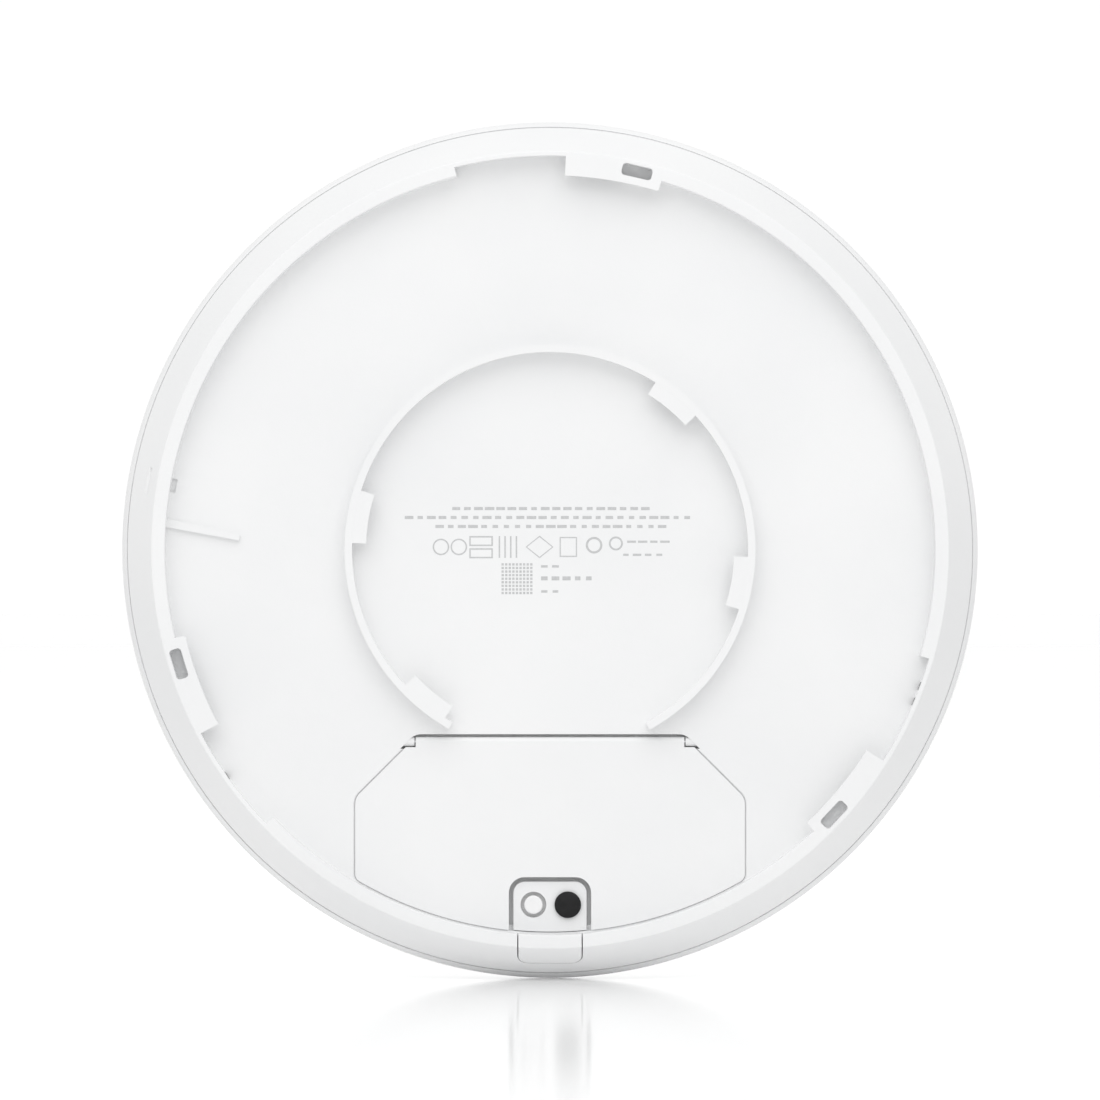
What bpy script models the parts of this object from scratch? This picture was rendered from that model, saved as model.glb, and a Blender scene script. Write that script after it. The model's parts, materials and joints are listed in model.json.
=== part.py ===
"""Round ceiling access point, standing on its rim with its mounting side facing -Y.

Frame: metres, +Z up. The origin is on the disc's axis, in the plane of the rear rim.
Depth runs along +Y, from the rear rim (0) to the top of the front dome.
Inside this file, sizes are in millimetres and places are (x, up, depth).
"""
import math

import bmesh
import bpy
from mathutils import Matrix, Vector

MM = 0.001

# Overall size
RADIUS = 98.5
THICKNESS = 35.0
WALL = 2.2
GAP = 0.35
STEPS = 96

# Rear cover
LAND_OUTER = 91.2
LIP_RADIUS = 88.1
FLOOR_DEPTH = 5.5
FLOOR_THICKNESS = 2.0
SLOPE_RADIUS = 97.0
SLOPE_DEPTH = 9.5
REAR_SKIRT_DEPTH = 10.5
PARTING_GAP = 0.4

# Bayonet: three entries, each with a slotted lug beside it
BAYONET_TURNS = (0.0, 120.0, 240.0)
ENTRY_ANGLES = (-14.0, 2.3)
LUG_END_ANGLE = 16.8
POCKET_END_ANGLE = 16.2
POCKET_RADIUS = 90.2
LUG_INNER_RADIUS = 85.7
LUG_THICKNESS = 1.8
LUG_SLOT_ANGLE = 12.95
LUG_SLOT_RADIUS = 88.8
LUG_SLOT_SIZE = (7.0, 2.8)

# Inner ring with inward tabs
RING_INNER = 45.3
RING_OUTER = 47.0
RING_DEPTH = 0.7
RING_ANGLES = (-150.5, 151.0)
RING_TAB_INNER = 42.1
RING_TAB_THICKNESS = 1.5
STEP = 0.03
RING_TABS = ((32.2, 47.3), (92.0, 107.4), (212.0, 227.0), (272.0, 287.5))

# Port door and the bay below it
DOOR_TOP = -42.6
DOOR_CHAMFER = 12.1
DOOR_HALF_WIDTH = 44.7
DOOR_RADIUS = 87.65
DOOR_CORNER = 3.5
DOOR_DEPTH = FLOOR_DEPTH
DOOR_THICKNESS = 2.0
HINGE_UP = -43.95
HINGE_DEPTH = 6.6
HINGE_ROLL = 1.1
ROLL_HALF_LENGTH = 30.8
ROLL_RELIEF = 1.25
KNUCKLE_START = 31.07
KNUCKLE_RADIUS = 1.03
LIP_DEPTH = 8.57
LIP_FOOT = -45.3
LIP_TOP = -42.0
PIN_RADIUS = 0.4
PIN_BORE = 0.65
PIN_HALF_LENGTH = 33.9
CUTOUT_HALF_WIDTH = 9.43
CUTOUT_TOP = -75.0
CUTOUT_CORNER = 3.6
BAY_DEPTH = 19.6
BAY_BOTTOM = 20.9

# Button island at the foot of the bay
ISLAND_HALF_WIDTH = 8.4
ISLAND_TOP = -76.05
ISLAND_WALL = 1.1
FLANGE_HALF_WIDTH = 9.4
FLANGE_TOP = -75.05
BEZEL_DEPTH = 6.7
BEZEL_THICKNESS = 0.8
BUTTON_X = -3.8
PLUG_X = 4.08
BUTTON_UP = -81.35
BUTTON_HOLE_RADIUS = 2.95
BUTTON_RADIUS = 2.12
PLUG_RADIUS = 3.05

# Cable exit in the rim
EXIT_HALF_WIDTH = 7.5
EXIT_DEPTH = 6.2
EXIT_CORNER = 2.4
EXIT_GAP = 0.25

# Front cover
DOME_START = 16.0
DOME_POWER = 4.0
LIGHT_OUTER = 35.5
LIGHT_INNER = 34.0
FRONT_HOLE = 35.85
CAP_RADIUS = 33.65

# Inside
BOARD_RADIUS = 86.0
BOARD_DEPTH = 15.5
BOARD_THICKNESS = 1.6
BOARD_EDGE = -39.6
JACK_X = -20.0
JACK_WIDTH = 16.0
JACK_TOP = -24.0
JACK_FOOT = -44.6
JACK_DEPTHS = (8.9, 19.2)
SINK_DEPTHS = (8.3, 11.5)
BOSSES = ((-54.0, 54.0), (54.0, 54.0), (-62.0, -28.0), (62.0, -28.0))
STANDOFFS = ((0.0, 76.0), (-76.0, 0.0), (76.0, 0.0), (0.0, -24.0))
PLATE_DEPTHS = (21.2, 22.2)
ANTENNA_ANGLES = (45.0, 135.0, 225.0, 315.0)
ANTENNA_RADIUS = 64.0
LED_ANGLES = (0.0, 90.0, 180.0, 270.0)
LED_RADIUS = 34.75


# ---------------------------------------------------------------- scene and materials

def clear_scene():
    for item in list(bpy.data.objects):
        bpy.data.objects.remove(item, do_unlink=True)


def new_collection(name):
    collection = bpy.data.collections.new(name)
    bpy.context.scene.collection.children.link(collection)
    return collection


def new_material(name, colour, roughness, metallic=0.0):
    material = bpy.data.materials.new(name)
    material.use_nodes = True
    shader = material.node_tree.nodes["Principled BSDF"]
    shader.inputs["Base Color"].default_value = (*colour, 1.0)
    shader.inputs["Roughness"].default_value = roughness
    shader.inputs["Metallic"].default_value = metallic
    material.diffuse_color = (*colour, 1.0)
    return material


clear_scene()
PARTS = new_collection("ceiling_access_point")
CUTTERS = new_collection("cutters")

ROOT = bpy.data.objects.new("access_point", None)
ROOT.empty_display_size = 0.02
PARTS.objects.link(ROOT)

WHITE = new_material("white_plastic", (0.86, 0.86, 0.85), 0.45)
RADOME = new_material("radome_plastic", (0.88, 0.88, 0.87), 0.4)
DIFFUSER = new_material("light_diffuser", (0.8, 0.84, 0.88), 0.3)
BLACK = new_material("black_rubber", (0.02, 0.02, 0.022), 0.6)
DARK = new_material("black_plastic", (0.03, 0.03, 0.032), 0.5)
BOARD = new_material("circuit_board", (0.02, 0.13, 0.07), 0.45)
STEEL = new_material("steel", (0.56, 0.57, 0.58), 0.35, 1.0)
TIN = new_material("tin_plate", (0.7, 0.71, 0.72), 0.3, 1.0)
CAST = new_material("cast_aluminium", (0.62, 0.63, 0.64), 0.5, 1.0)
GOLD = new_material("gold_plate", (0.85, 0.62, 0.24), 0.25, 1.0)
CHIP = new_material("chip_resin", (0.025, 0.025, 0.027), 0.55)
PAD = new_material("thermal_pad", (0.35, 0.42, 0.55), 0.8)
LEAD = new_material("lead_sheath", (0.05, 0.05, 0.05), 0.5)
LED = new_material("led_resin", (0.9, 0.88, 0.7), 0.3)


# ---------------------------------------------------------------- outlines, (x, up) in mm

def polar(radius, angle):
    """A point at an angle measured from straight up, clockwise as seen from the rear."""
    turn = math.radians(angle)
    return (radius * math.sin(turn), radius * math.cos(turn))


def arc(radius, start, end, step=3.75):
    count = max(1, math.ceil(abs(end - start) / step))
    angles = [start + (end - start) * i / count for i in range(count + 1)]
    return [polar(radius, angle) for angle in angles]


def sector(inner, outer, start, end):
    return arc(outer, start, end) + arc(inner, end, start)


def rectangle(x0, x1, up0, up1):
    return [(x0, up0), (x1, up0), (x1, up1), (x0, up1)]


def circle(x, up, radius, count=16):
    turns = [2 * math.pi * i / count for i in range(count)]
    return [(x + radius * math.cos(t), up + radius * math.sin(t)) for t in turns]


def rounded(points, radii, count=4):
    """Replace each corner of an outline by an arc of its own radius (0 keeps it sharp)."""
    result = []
    for i, (point, radius) in enumerate(zip(points, radii)):
        if radius == 0:
            result.append(point)
            continue
        corner = Vector(point)
        before = (Vector(points[i - 1]) - corner).normalized()
        after = (Vector(points[(i + 1) % len(points)]) - corner).normalized()
        half = before.angle(after) / 2
        centre = corner + (before + after).normalized() * radius / math.sin(half)
        first = corner + before * radius / math.tan(half) - centre
        last = corner + after * radius / math.tan(half) - centre
        sweep = first.angle_signed(last)
        for k in range(count + 1):
            spoke = first.copy()
            spoke.rotate(Matrix.Rotation(-sweep * k / count, 2))
            result.append(tuple(centre + spoke))
    return result


def turned_outline(points, angle, centre=(0.0, 0.0)):
    """Turn an outline clockwise about a centre."""
    turn = math.radians(angle)
    c, s = math.cos(turn), math.sin(turn)
    return [
        (centre[0] + x * c + y * s, centre[1] - x * s + y * c)
        for x, y in points
    ]


def door_outline(offset=0.0, top=None, foot_corner=2.0):
    """The eight-cornered panel, grown by an offset, with its top edge where it is told."""
    if top is None:
        top = DOOR_TOP + offset
    side = DOOR_HALF_WIDTH + offset
    chamfer = DOOR_CHAMFER - offset * math.sqrt(2)
    radius = DOOR_RADIUS + offset
    corner = max(0.6, DOOR_CORNER + offset)
    foot = math.degrees(math.asin(side / radius))
    right = [(-chamfer - top, top), (side, -chamfer - side)]
    bottom = arc(radius, 180 - foot, 180 + foot, 5.0)
    left = [(-x, up) for x, up in reversed(right)]
    radii = [corner, corner, foot_corner] + [0.0] * (len(bottom) - 2)
    radii += [foot_corner, corner, corner]
    return rounded(right + bottom + left, radii)


def door_with_cutout(top):
    """The panel's outline with the U-shaped cut-out that opens at its foot."""
    side = DOOR_HALF_WIDTH
    foot = math.degrees(math.asin(side / DOOR_RADIUS))
    mouth = math.degrees(math.asin(CUTOUT_HALF_WIDTH / DOOR_RADIUS))
    right = [(-DOOR_CHAMFER - top, top), (side, -DOOR_CHAMFER - side)]
    half = arc(DOOR_RADIUS, 180 - foot, 180 - mouth, 5.0)
    notch = [(CUTOUT_HALF_WIDTH, CUTOUT_TOP), (-CUTOUT_HALF_WIDTH, CUTOUT_TOP)]
    mirrored = [(-x, up) for x, up in reversed(right + half)]
    radii = [0.0, DOOR_CORNER, 2.0] + [0.0] * (len(half) - 1)
    radii += [CUTOUT_CORNER, CUTOUT_CORNER]
    radii += [0.0] * (len(half) - 1) + [2.0, DOOR_CORNER, 0.0]
    return rounded(right + half + notch + mirrored, radii)


# ---------------------------------------------------------------- solids

def place(x, up, depth):
    return Vector((x, depth, up)) * MM


def add_object(name, mesh, material, origin=(0.0, 0.0, 0.0), sharp=30.0):
    """Wrap a mesh, given in the object's frame, as one named part with its own origin."""
    shift = place(*origin)
    if shift.length > 0:
        mesh.transform(Matrix.Translation(-shift))
    mesh.materials.clear()
    mesh.materials.append(material)
    part = bpy.data.objects.new(name, mesh)
    part.location = shift
    part.parent = ROOT
    PARTS.objects.link(part)
    if mesh.polygons:
        mesh.shade_smooth()
        mesh.set_sharp_from_angle(angle=math.radians(sharp))
    return part


def mesh_from(builder, name):
    mesh = bpy.data.meshes.new(name)
    bmesh.ops.recalc_face_normals(builder, faces=builder.faces)
    builder.to_mesh(mesh)
    builder.free()
    return mesh


def extruded(name, outlines, depths, material, origin=(0.0, 0.0, 0.0), sharp=30.0):
    """A flat outline, with any holes, filled and extruded between two depths."""
    curve = bpy.data.curves.new(name, "CURVE")
    curve.dimensions = "2D"
    curve.fill_mode = "BOTH"
    curve.extrude = abs(depths[1] - depths[0]) * MM / 2
    for outline in outlines:
        spline = curve.splines.new("POLY")
        spline.points.add(len(outline) - 1)
        for point, (x, up) in zip(spline.points, outline):
            point.co = (x * MM, up * MM, 0.0, 1.0)
        spline.use_cyclic_u = True
    guide = bpy.data.objects.new(name + "_outline", curve)
    bpy.context.scene.collection.objects.link(guide)
    bpy.context.view_layer.update()
    evaluated = guide.evaluated_get(bpy.context.evaluated_depsgraph_get())
    flat = bpy.data.meshes.new_from_object(evaluated)
    builder = bmesh.new()
    builder.from_mesh(flat)
    bmesh.ops.remove_doubles(builder, verts=builder.verts, dist=0.000001)
    near, far = min(depths) * MM, max(depths) * MM
    for vertex in builder.verts:
        x, up, side = vertex.co
        vertex.co = (x, near if side > 0 else far, up)
    bpy.data.objects.remove(guide, do_unlink=True)
    bpy.data.curves.remove(curve)
    return add_object(name, mesh_from(builder, name), material, origin, sharp)


def turned(name, profile, material, centre=(0.0, 0.0), steps=STEPS, sharp=30.0):
    """A closed profile of (radius, depth) points turned about the depth axis."""
    mesh = bpy.data.meshes.new(name)
    points = [(radius * MM, depth * MM, 0.0) for radius, depth in profile]
    edges = [(i, i + 1) for i in range(len(points) - 1)]
    if profile[0][0] > 0 or profile[-1][0] > 0:
        edges.append((len(points) - 1, 0))
    mesh.from_pydata(points, edges, [])
    part = add_object(name, mesh, material)
    part.location = place(centre[0], centre[1], 0.0)
    screw = part.modifiers.new("turn", "SCREW")
    screw.axis = "Y"
    screw.angle = 2 * math.pi
    screw.steps = steps
    screw.render_steps = steps
    screw.use_merge_vertices = True
    screw.merge_threshold = 0.00001
    screw.use_smooth_shade = True
    screw.use_normal_flip = True
    return part


def block(name, xs, ups, depths, material, bevel=0.0, origin=(0.0, 0.0, 0.0)):
    """A box between two values in each direction."""
    builder = bmesh.new()
    bmesh.ops.create_cube(builder, size=1.0)
    for vertex in builder.verts:
        x = xs[1] if vertex.co.x > 0 else xs[0]
        depth = depths[1] if vertex.co.y > 0 else depths[0]
        up = ups[1] if vertex.co.z > 0 else ups[0]
        vertex.co = place(x, up, depth)
    part = add_object(name, mesh_from(builder, name), material, origin)
    if bevel:
        soften(part, bevel)
    return part


def cylinder(name, radius, centre, depths, material, count=16, axis="DEPTH"):
    """A cylinder along the depth (centre x, up) or along X (centre up, depth)."""
    length = abs(depths[1] - depths[0]) * MM
    middle = (depths[0] + depths[1]) / 2
    if axis == "DEPTH":
        turn = Matrix.Rotation(math.radians(90), 4, "X")
        spot = place(centre[0], centre[1], middle)
    else:
        turn = Matrix.Rotation(math.radians(90), 4, "Y")
        spot = place(middle, centre[0], centre[1])
    builder = bmesh.new()
    bmesh.ops.create_cone(
        builder,
        cap_ends=True,
        segments=count,
        radius1=radius * MM,
        radius2=radius * MM,
        depth=length,
        matrix=Matrix.Translation(spot) @ turn,
    )
    return add_object(name, mesh_from(builder, name), material)


def tube(name, points, radius, material):
    """A round lead along points given as (x, up, depth), with filled caps."""
    curve = bpy.data.curves.new(name, "CURVE")
    curve.dimensions = "3D"
    curve.bevel_depth = radius * MM
    curve.bevel_resolution = 1
    curve.use_fill_caps = True
    spline = curve.splines.new("POLY")
    spline.points.add(len(points) - 1)
    for point, spot in zip(spline.points, points):
        point.co = (*place(*spot), 1.0)
    curve.materials.append(material)
    part = bpy.data.objects.new(name, curve)
    part.parent = ROOT
    PARTS.objects.link(part)
    return part


def soften(part, width, segments=1, angle=40.0):
    bevel = part.modifiers.new("soft_edges", "BEVEL")
    bevel.width = width * MM
    bevel.segments = segments
    bevel.limit_method = "ANGLE"
    bevel.angle_limit = math.radians(angle)
    return bevel


def combine(part, operation, *tools):
    """Cut, join or trim a part with each tool, which then becomes a hidden cutter."""
    for tool in tools:
        boolean = part.modifiers.new(tool.name, "BOOLEAN")
        boolean.operation = operation
        boolean.solver = "EXACT"
        boolean.object = tool
        PARTS.objects.unlink(tool)
        CUTTERS.objects.link(tool)
        tool.hide_render = True
        tool.display_type = "WIRE"


def cut(part, *tools):
    combine(part, "DIFFERENCE", *tools)


def unite(part, *tools):
    combine(part, "UNION", *tools)


def dome_depth(radius, inset=0.0):
    """Depth of the dome's surface at a radius, for a surface inset from the outside."""
    ratio = (radius / (RADIUS - inset)) ** DOME_POWER
    return DOME_START + (THICKNESS - DOME_START - inset) * math.sqrt(max(0.0, 1 - ratio))


# ---------------------------------------------------------------- rear cover

def make_rear_cover():
    floor = FLOOR_DEPTH
    back = FLOOR_DEPTH + FLOOR_THICKNESS
    profile = [
        (0.0, floor),
        (LIP_RADIUS, floor),
        (LIP_RADIUS, 0.0),
        (LAND_OUTER, 0.0),
        (SLOPE_RADIUS, SLOPE_DEPTH),
        (SLOPE_RADIUS, REAR_SKIRT_DEPTH),
        (94.6, REAR_SKIRT_DEPTH),
        (94.6, 8.6),
        (93.4, back),
        (0.0, back),
    ]
    cover = turned("rear_cover", profile, WHITE)
    for turn in BAYONET_TURNS:
        add_bayonet(cover, turn)
    add_inner_ring(cover)
    add_port_bay(cover)
    add_bosses(cover)
    add_rim_details(cover)
    return cover


def add_bayonet(cover, turn):
    start, end = ENTRY_ANGLES
    tag = str(int(turn))
    pocket = extruded(
        "pocket_" + tag,
        [sector(86.2, POCKET_RADIUS, turn + start, turn + POCKET_END_ANGLE)],
        (LUG_THICKNESS, FLOOR_DEPTH + STEP),
        WHITE,
    )
    lug = extruded(
        "lug_" + tag,
        [sector(LUG_INNER_RADIUS, 89.4, turn, turn + LUG_END_ANGLE)],
        (STEP, LUG_THICKNESS + STEP),
        WHITE,
    )
    entry = extruded(
        "entry_" + tag,
        [sector(84.0, POCKET_RADIUS + STEP, turn + start - STEP, turn + end)],
        (-1.0, 3.0),
        WHITE,
    )
    length, width = LUG_SLOT_SIZE
    slot = rounded(
        rectangle(-length / 2, length / 2, -width / 2, width / 2),
        [0.9] * 4,
        2,
    )
    centre = polar(LUG_SLOT_RADIUS, turn + LUG_SLOT_ANGLE)
    slot_cutter = extruded(
        "lug_slot_" + tag,
        [turned_outline(slot, turn + LUG_SLOT_ANGLE, centre)],
        (-1.0, 3.0),
        WHITE,
    )
    cut(cover, pocket)
    unite(cover, lug)
    cut(cover, entry, slot_cutter)


def add_inner_ring(cover):
    ring = extruded(
        "inner_ring",
        [sector(RING_INNER, RING_OUTER, *RING_ANGLES)],
        (RING_DEPTH, FLOOR_DEPTH + 1.0),
        WHITE,
    )
    unite(cover, ring)
    for i, (start, end) in enumerate(RING_TABS):
        tab = extruded(
            "ring_tab_" + str(i),
            [sector(RING_TAB_INNER, RING_INNER + 0.8, start, end)],
            (RING_DEPTH + STEP, RING_DEPTH + RING_TAB_THICKNESS),
            WHITE,
        )
        unite(cover, tab)


def add_port_bay(cover):
    back = FLOOR_DEPTH + FLOOR_THICKNESS
    tub = extruded(
        "bay_tub",
        [door_outline(2.6)],
        (back - 0.6, BAY_BOTTOM),
        WHITE,
    )
    seat = extruded("door_seat", [door_outline(GAP)], (3.0, back + 0.3), WHITE)
    bay = extruded(
        "bay_space",
        [door_outline(-1.2, DOOR_TOP + 0.25)],
        (back - 0.5, BAY_DEPTH),
        WHITE,
    )
    side = DOOR_CHAMFER + 0.85
    lip_points = [
        (side + LIP_FOOT, LIP_FOOT),
        (-side - LIP_FOOT, LIP_FOOT),
        (-side - LIP_TOP, LIP_TOP),
        (side + LIP_TOP, LIP_TOP),
    ]
    lip = extruded("hinge_lip", [lip_points], (LIP_DEPTH - 0.57, LIP_DEPTH), WHITE)
    chamfer = DOOR_CHAMFER - (GAP + 0.28) * math.sqrt(2)
    top = DOOR_TOP + GAP + STEP
    foot = HINGE_UP - HINGE_ROLL - 0.5
    relief_points = [
        (-chamfer - top, top),
        (-chamfer - foot, foot),
        (chamfer + foot, foot),
        (chamfer + top, top),
    ]
    corner = DOOR_CORNER + GAP
    relief = extruded(
        "hinge_relief",
        [rounded(relief_points, [corner, 0.0, 0.0, corner])],
        (3.0, HINGE_DEPTH + HINGE_ROLL + 0.4),
        WHITE,
    )
    unite(cover, tub)
    cut(cover, seat, bay)
    unite(cover, lip)
    cut(cover, relief)
    for sign in (-1, 1):
        ends = tuple(sorted((sign * KNUCKLE_START, sign * 34.6)))
        name = "hinge_knuckle_" + ("right" if sign > 0 else "left")
        knuckle = cylinder(name, KNUCKLE_RADIUS, (HINGE_UP, HINGE_DEPTH), ends, WHITE, 24, "X")
        unite(cover, knuckle)
    flange_points = [
        (-FLANGE_HALF_WIDTH, -86.9),
        (FLANGE_HALF_WIDTH, -86.9),
        (FLANGE_HALF_WIDTH, FLANGE_TOP),
        (-FLANGE_HALF_WIDTH, FLANGE_TOP),
    ]
    flange = extruded("island_flange", [rounded(flange_points, [0.0, 0.0, 3.4, 3.4])], (8.8, 9.8), WHITE)
    island = extruded(
        "island_walls",
        [island_outline(0.0, -87.0)],
        (BEZEL_DEPTH + BEZEL_THICKNESS + 0.3 + STEP, BAY_DEPTH + 0.6),
        WHITE,
    )
    island_space = extruded(
        "island_space",
        [island_outline(-ISLAND_WALL, -86.0)],
        (0.0, BAY_DEPTH),
        WHITE,
    )
    unite(cover, island, flange)
    cut(cover, island_space)
    half = JACK_WIDTH / 2 + 0.3
    doorway = block(
        "jack_doorway",
        (JACK_X - half, JACK_X + half),
        (-43.2, -39.0),
        (JACK_DEPTHS[0] - 0.3, JACK_DEPTHS[1] + 0.3),
        WHITE,
    )
    sockets = cylinder(
        "pin_sockets",
        PIN_BORE,
        (HINGE_UP, HINGE_DEPTH),
        (-PIN_HALF_LENGTH - 0.3, PIN_HALF_LENGTH + 0.3),
        WHITE,
        12,
        "X",
    )
    cut(cover, doorway, sockets)


def island_outline(offset, foot):
    """The island's plan: round shoulders at the top, straight at its foot."""
    half = ISLAND_HALF_WIDTH + offset
    top = ISLAND_TOP + offset
    corner = max(0.8, CUTOUT_CORNER - 1.0 + offset)
    points = [(-half, foot), (half, foot), (half, top), (-half, top)]
    return rounded(points, [0.0, 0.0, corner, corner])


def add_bosses(cover):
    back = FLOOR_DEPTH + FLOOR_THICKNESS
    for i, spot in enumerate(BOSSES):
        tag = str(i)
        boss = cylinder("boss_" + tag, 3.4, spot, (back - 0.8, 15.2), WHITE, 16)
        bore = cylinder("boss_bore_" + tag, 1.6, spot, (8.6, 16.0), WHITE, 12)
        unite(cover, boss)
        cut(cover, bore)


def add_rim_details(cover):
    rib_points = [(-88.5, 7.35), (-88.5, 5.35), (-71.3, 2.2), (-71.0, 3.4)]
    rib = extruded("floor_rib", [rib_points], (FLOOR_DEPTH - 1.0, FLOOR_DEPTH + 1.0), WHITE)
    mark = extruded("alignment_mark", [sector(92.95, 94.6, -82.0, -78.3)], (-1.0, 4.05), WHITE)
    breather = extruded("breather", [sector(86.9, 88.5, -81.3, -79.3)], (4.4, 6.1), WHITE)
    channel_points = [
        (-EXIT_HALF_WIDTH, -1.0),
        (EXIT_HALF_WIDTH, -1.0),
        (EXIT_HALF_WIDTH, EXIT_DEPTH),
        (-EXIT_HALF_WIDTH, EXIT_DEPTH),
    ]
    corner = EXIT_CORNER
    channel = along_up("exit_channel", channel_points, corner, (-99.5, -87.3), WHITE)
    unite(cover, rib)
    cut(cover, mark, breather, channel)


def along_up(name, points, corner, ups, material):
    """A U-shaped section of (x, depth) points, with two round corners, drawn along Z."""
    outline = rounded(points, [0.0, 0.0, corner, corner], 3)
    builder = bmesh.new()
    low = [builder.verts.new(place(x, min(ups), depth)) for x, depth in outline]
    face = builder.faces.new(low)
    lifted = bmesh.ops.extrude_face_region(builder, geom=[face])
    tops = [item for item in lifted["geom"] if isinstance(item, bmesh.types.BMVert)]
    bmesh.ops.translate(builder, verts=tops, vec=(0.0, 0.0, abs(ups[1] - ups[0]) * MM))
    return add_object(name, mesh_from(builder, name), material)


def make_cable_exit_tab():
    """The piece of rim that lifts out to let a cable leave sideways."""
    half = EXIT_HALF_WIDTH - EXIT_GAP
    depth = EXIT_DEPTH - EXIT_GAP
    points = [(-half, 0.0), (half, 0.0), (half, depth), (-half, depth)]
    ups = (-99.0, -84.0)
    tab = along_up("cable_exit_tab", points, EXIT_CORNER - EXIT_GAP, ups, WHITE)
    profile = [
        (LIP_RADIUS, -1.0),
        (LAND_OUTER - 0.6105, -1.0),
        (SLOPE_RADIUS + 1.221, SLOPE_DEPTH + 2.0),
        (LIP_RADIUS, SLOPE_DEPTH + 2.0),
    ]
    rim = turned("exit_rim", profile, WHITE)
    combine(tab, "INTERSECT", rim)
    return tab


# ---------------------------------------------------------------- door, buttons

def make_port_door():
    axis = (0.0, HINGE_UP, HINGE_DEPTH)
    face = DOOR_DEPTH
    back = DOOR_DEPTH + DOOR_THICKNESS
    door = extruded(
        "port_door",
        [door_with_cutout(HINGE_UP - 0.2)],
        (face, back),
        WHITE,
        axis,
    )
    roll = cylinder("door_roll", HINGE_ROLL, (HINGE_UP, HINGE_DEPTH), (-31.3, 31.3), WHITE, 24, "X")
    unite(door, roll)
    for sign in (-1, 1):
        side = "right" if sign > 0 else "left"
        rib = block(
            "door_rib_" + side,
            tuple(sorted((sign * 17.0, sign * 18.4))),
            (-72.0, -47.0),
            (back - 0.4, back + 1.4),
            WHITE,
        )
        tongue = block(
            "door_tongue_" + side,
            tuple(sorted((sign * 22.0, sign * 28.0))),
            (-81.4, -80.2),
            (back - 0.4, back + 3.6),
            WHITE,
        )
        relief = block(
            "door_corner_relief_" + side,
            tuple(sorted((sign * ROLL_HALF_LENGTH, sign * 37.0))),
            (HINGE_UP - ROLL_RELIEF, -40.0),
            (3.0, 12.0),
            WHITE,
        )
        unite(door, rib, tongue)
        cut(door, relief)
    bore = cylinder("door_bore", PIN_BORE, (HINGE_UP, HINGE_DEPTH), (-40.0, 40.0), WHITE, 12, "X")
    cut(door, bore)
    return door


def make_hinge_pin():
    return cylinder(
        "door_hinge_pin",
        PIN_RADIUS,
        (HINGE_UP, HINGE_DEPTH),
        (-PIN_HALF_LENGTH, PIN_HALF_LENGTH),
        STEEL,
        12,
        "X",
    )


def make_buttons():
    back = BEZEL_DEPTH + BEZEL_THICKNESS
    half = ISLAND_HALF_WIDTH
    foot_angle = math.degrees(math.asin(half / DOOR_RADIUS))
    foot = arc(DOOR_RADIUS - 0.1, 180 - foot_angle, 180 + foot_angle, 4.0)
    corner = CUTOUT_CORNER - 1.0
    outline = rounded(
        [(half, ISLAND_TOP)] + foot + [(-half, ISLAND_TOP)],
        [corner] + [0.0] * len(foot) + [corner],
    )
    extruded(
        "button_bezel",
        [
            outline,
            circle(BUTTON_X, BUTTON_UP, BUTTON_HOLE_RADIUS, 24),
            circle(PLUG_X, BUTTON_UP, 2.75, 20),
        ],
        (BEZEL_DEPTH, back),
        WHITE,
    )
    stem = BUTTON_RADIUS
    button_profile = [
        (0.0, BEZEL_DEPTH - 0.3),
        (stem - 0.3, BEZEL_DEPTH - 0.3),
        (stem, BEZEL_DEPTH),
        (stem, back + 0.35),
        (3.25, back + 0.35),
        (3.25, back + 1.35),
        (0.0, back + 1.35),
    ]
    turned("reset_button", button_profile, WHITE, (BUTTON_X, BUTTON_UP), 24)
    plug_profile = [
        (0.0, BEZEL_DEPTH - 1.0),
        (PLUG_RADIUS - 0.35, BEZEL_DEPTH - 1.0),
        (PLUG_RADIUS, BEZEL_DEPTH - 0.7),
        (PLUG_RADIUS, BEZEL_DEPTH - 0.2),
        (2.45, BEZEL_DEPTH - 0.2),
        (2.45, back + 1.2),
        (0.0, back + 1.2),
    ]
    turned("service_plug", plug_profile, BLACK, (PLUG_X, BUTTON_UP), 24)
    plunger_profile = [
        (0.0, back + 1.65),
        (1.1, back + 1.65),
        (1.1, 12.2),
        (0.0, 12.2),
    ]
    turned("switch_plunger", plunger_profile, DARK, (BUTTON_X, BUTTON_UP), 16)
    switch = block(
        "reset_switch",
        (BUTTON_X - 2.6, BUTTON_X + 2.6),
        (BUTTON_UP - 2.6, BUTTON_UP + 2.6),
        (11.0, 13.9),
        DARK,
    )
    well = cylinder("switch_well", 1.4, (BUTTON_X, BUTTON_UP), (10.0, 13.2), DARK, 16)
    cut(switch, well)
    block("button_board", (-6.9, 6.9), (-85.5, -77.7), (14.2, 15.4), BOARD)


# ---------------------------------------------------------------- core

def board_outline():
    foot = math.degrees(math.acos(-BOARD_EDGE / BOARD_RADIUS))
    rim = arc(BOARD_RADIUS, -(180 - foot), 180 - foot, 7.5)
    half = JACK_WIDTH / 2 + 0.4
    top = JACK_TOP + 0.4
    notch = [
        (JACK_X + half, BOARD_EDGE),
        (JACK_X + half, top),
        (JACK_X - half, top),
        (JACK_X - half, BOARD_EDGE),
    ]
    return rim + notch


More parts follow.
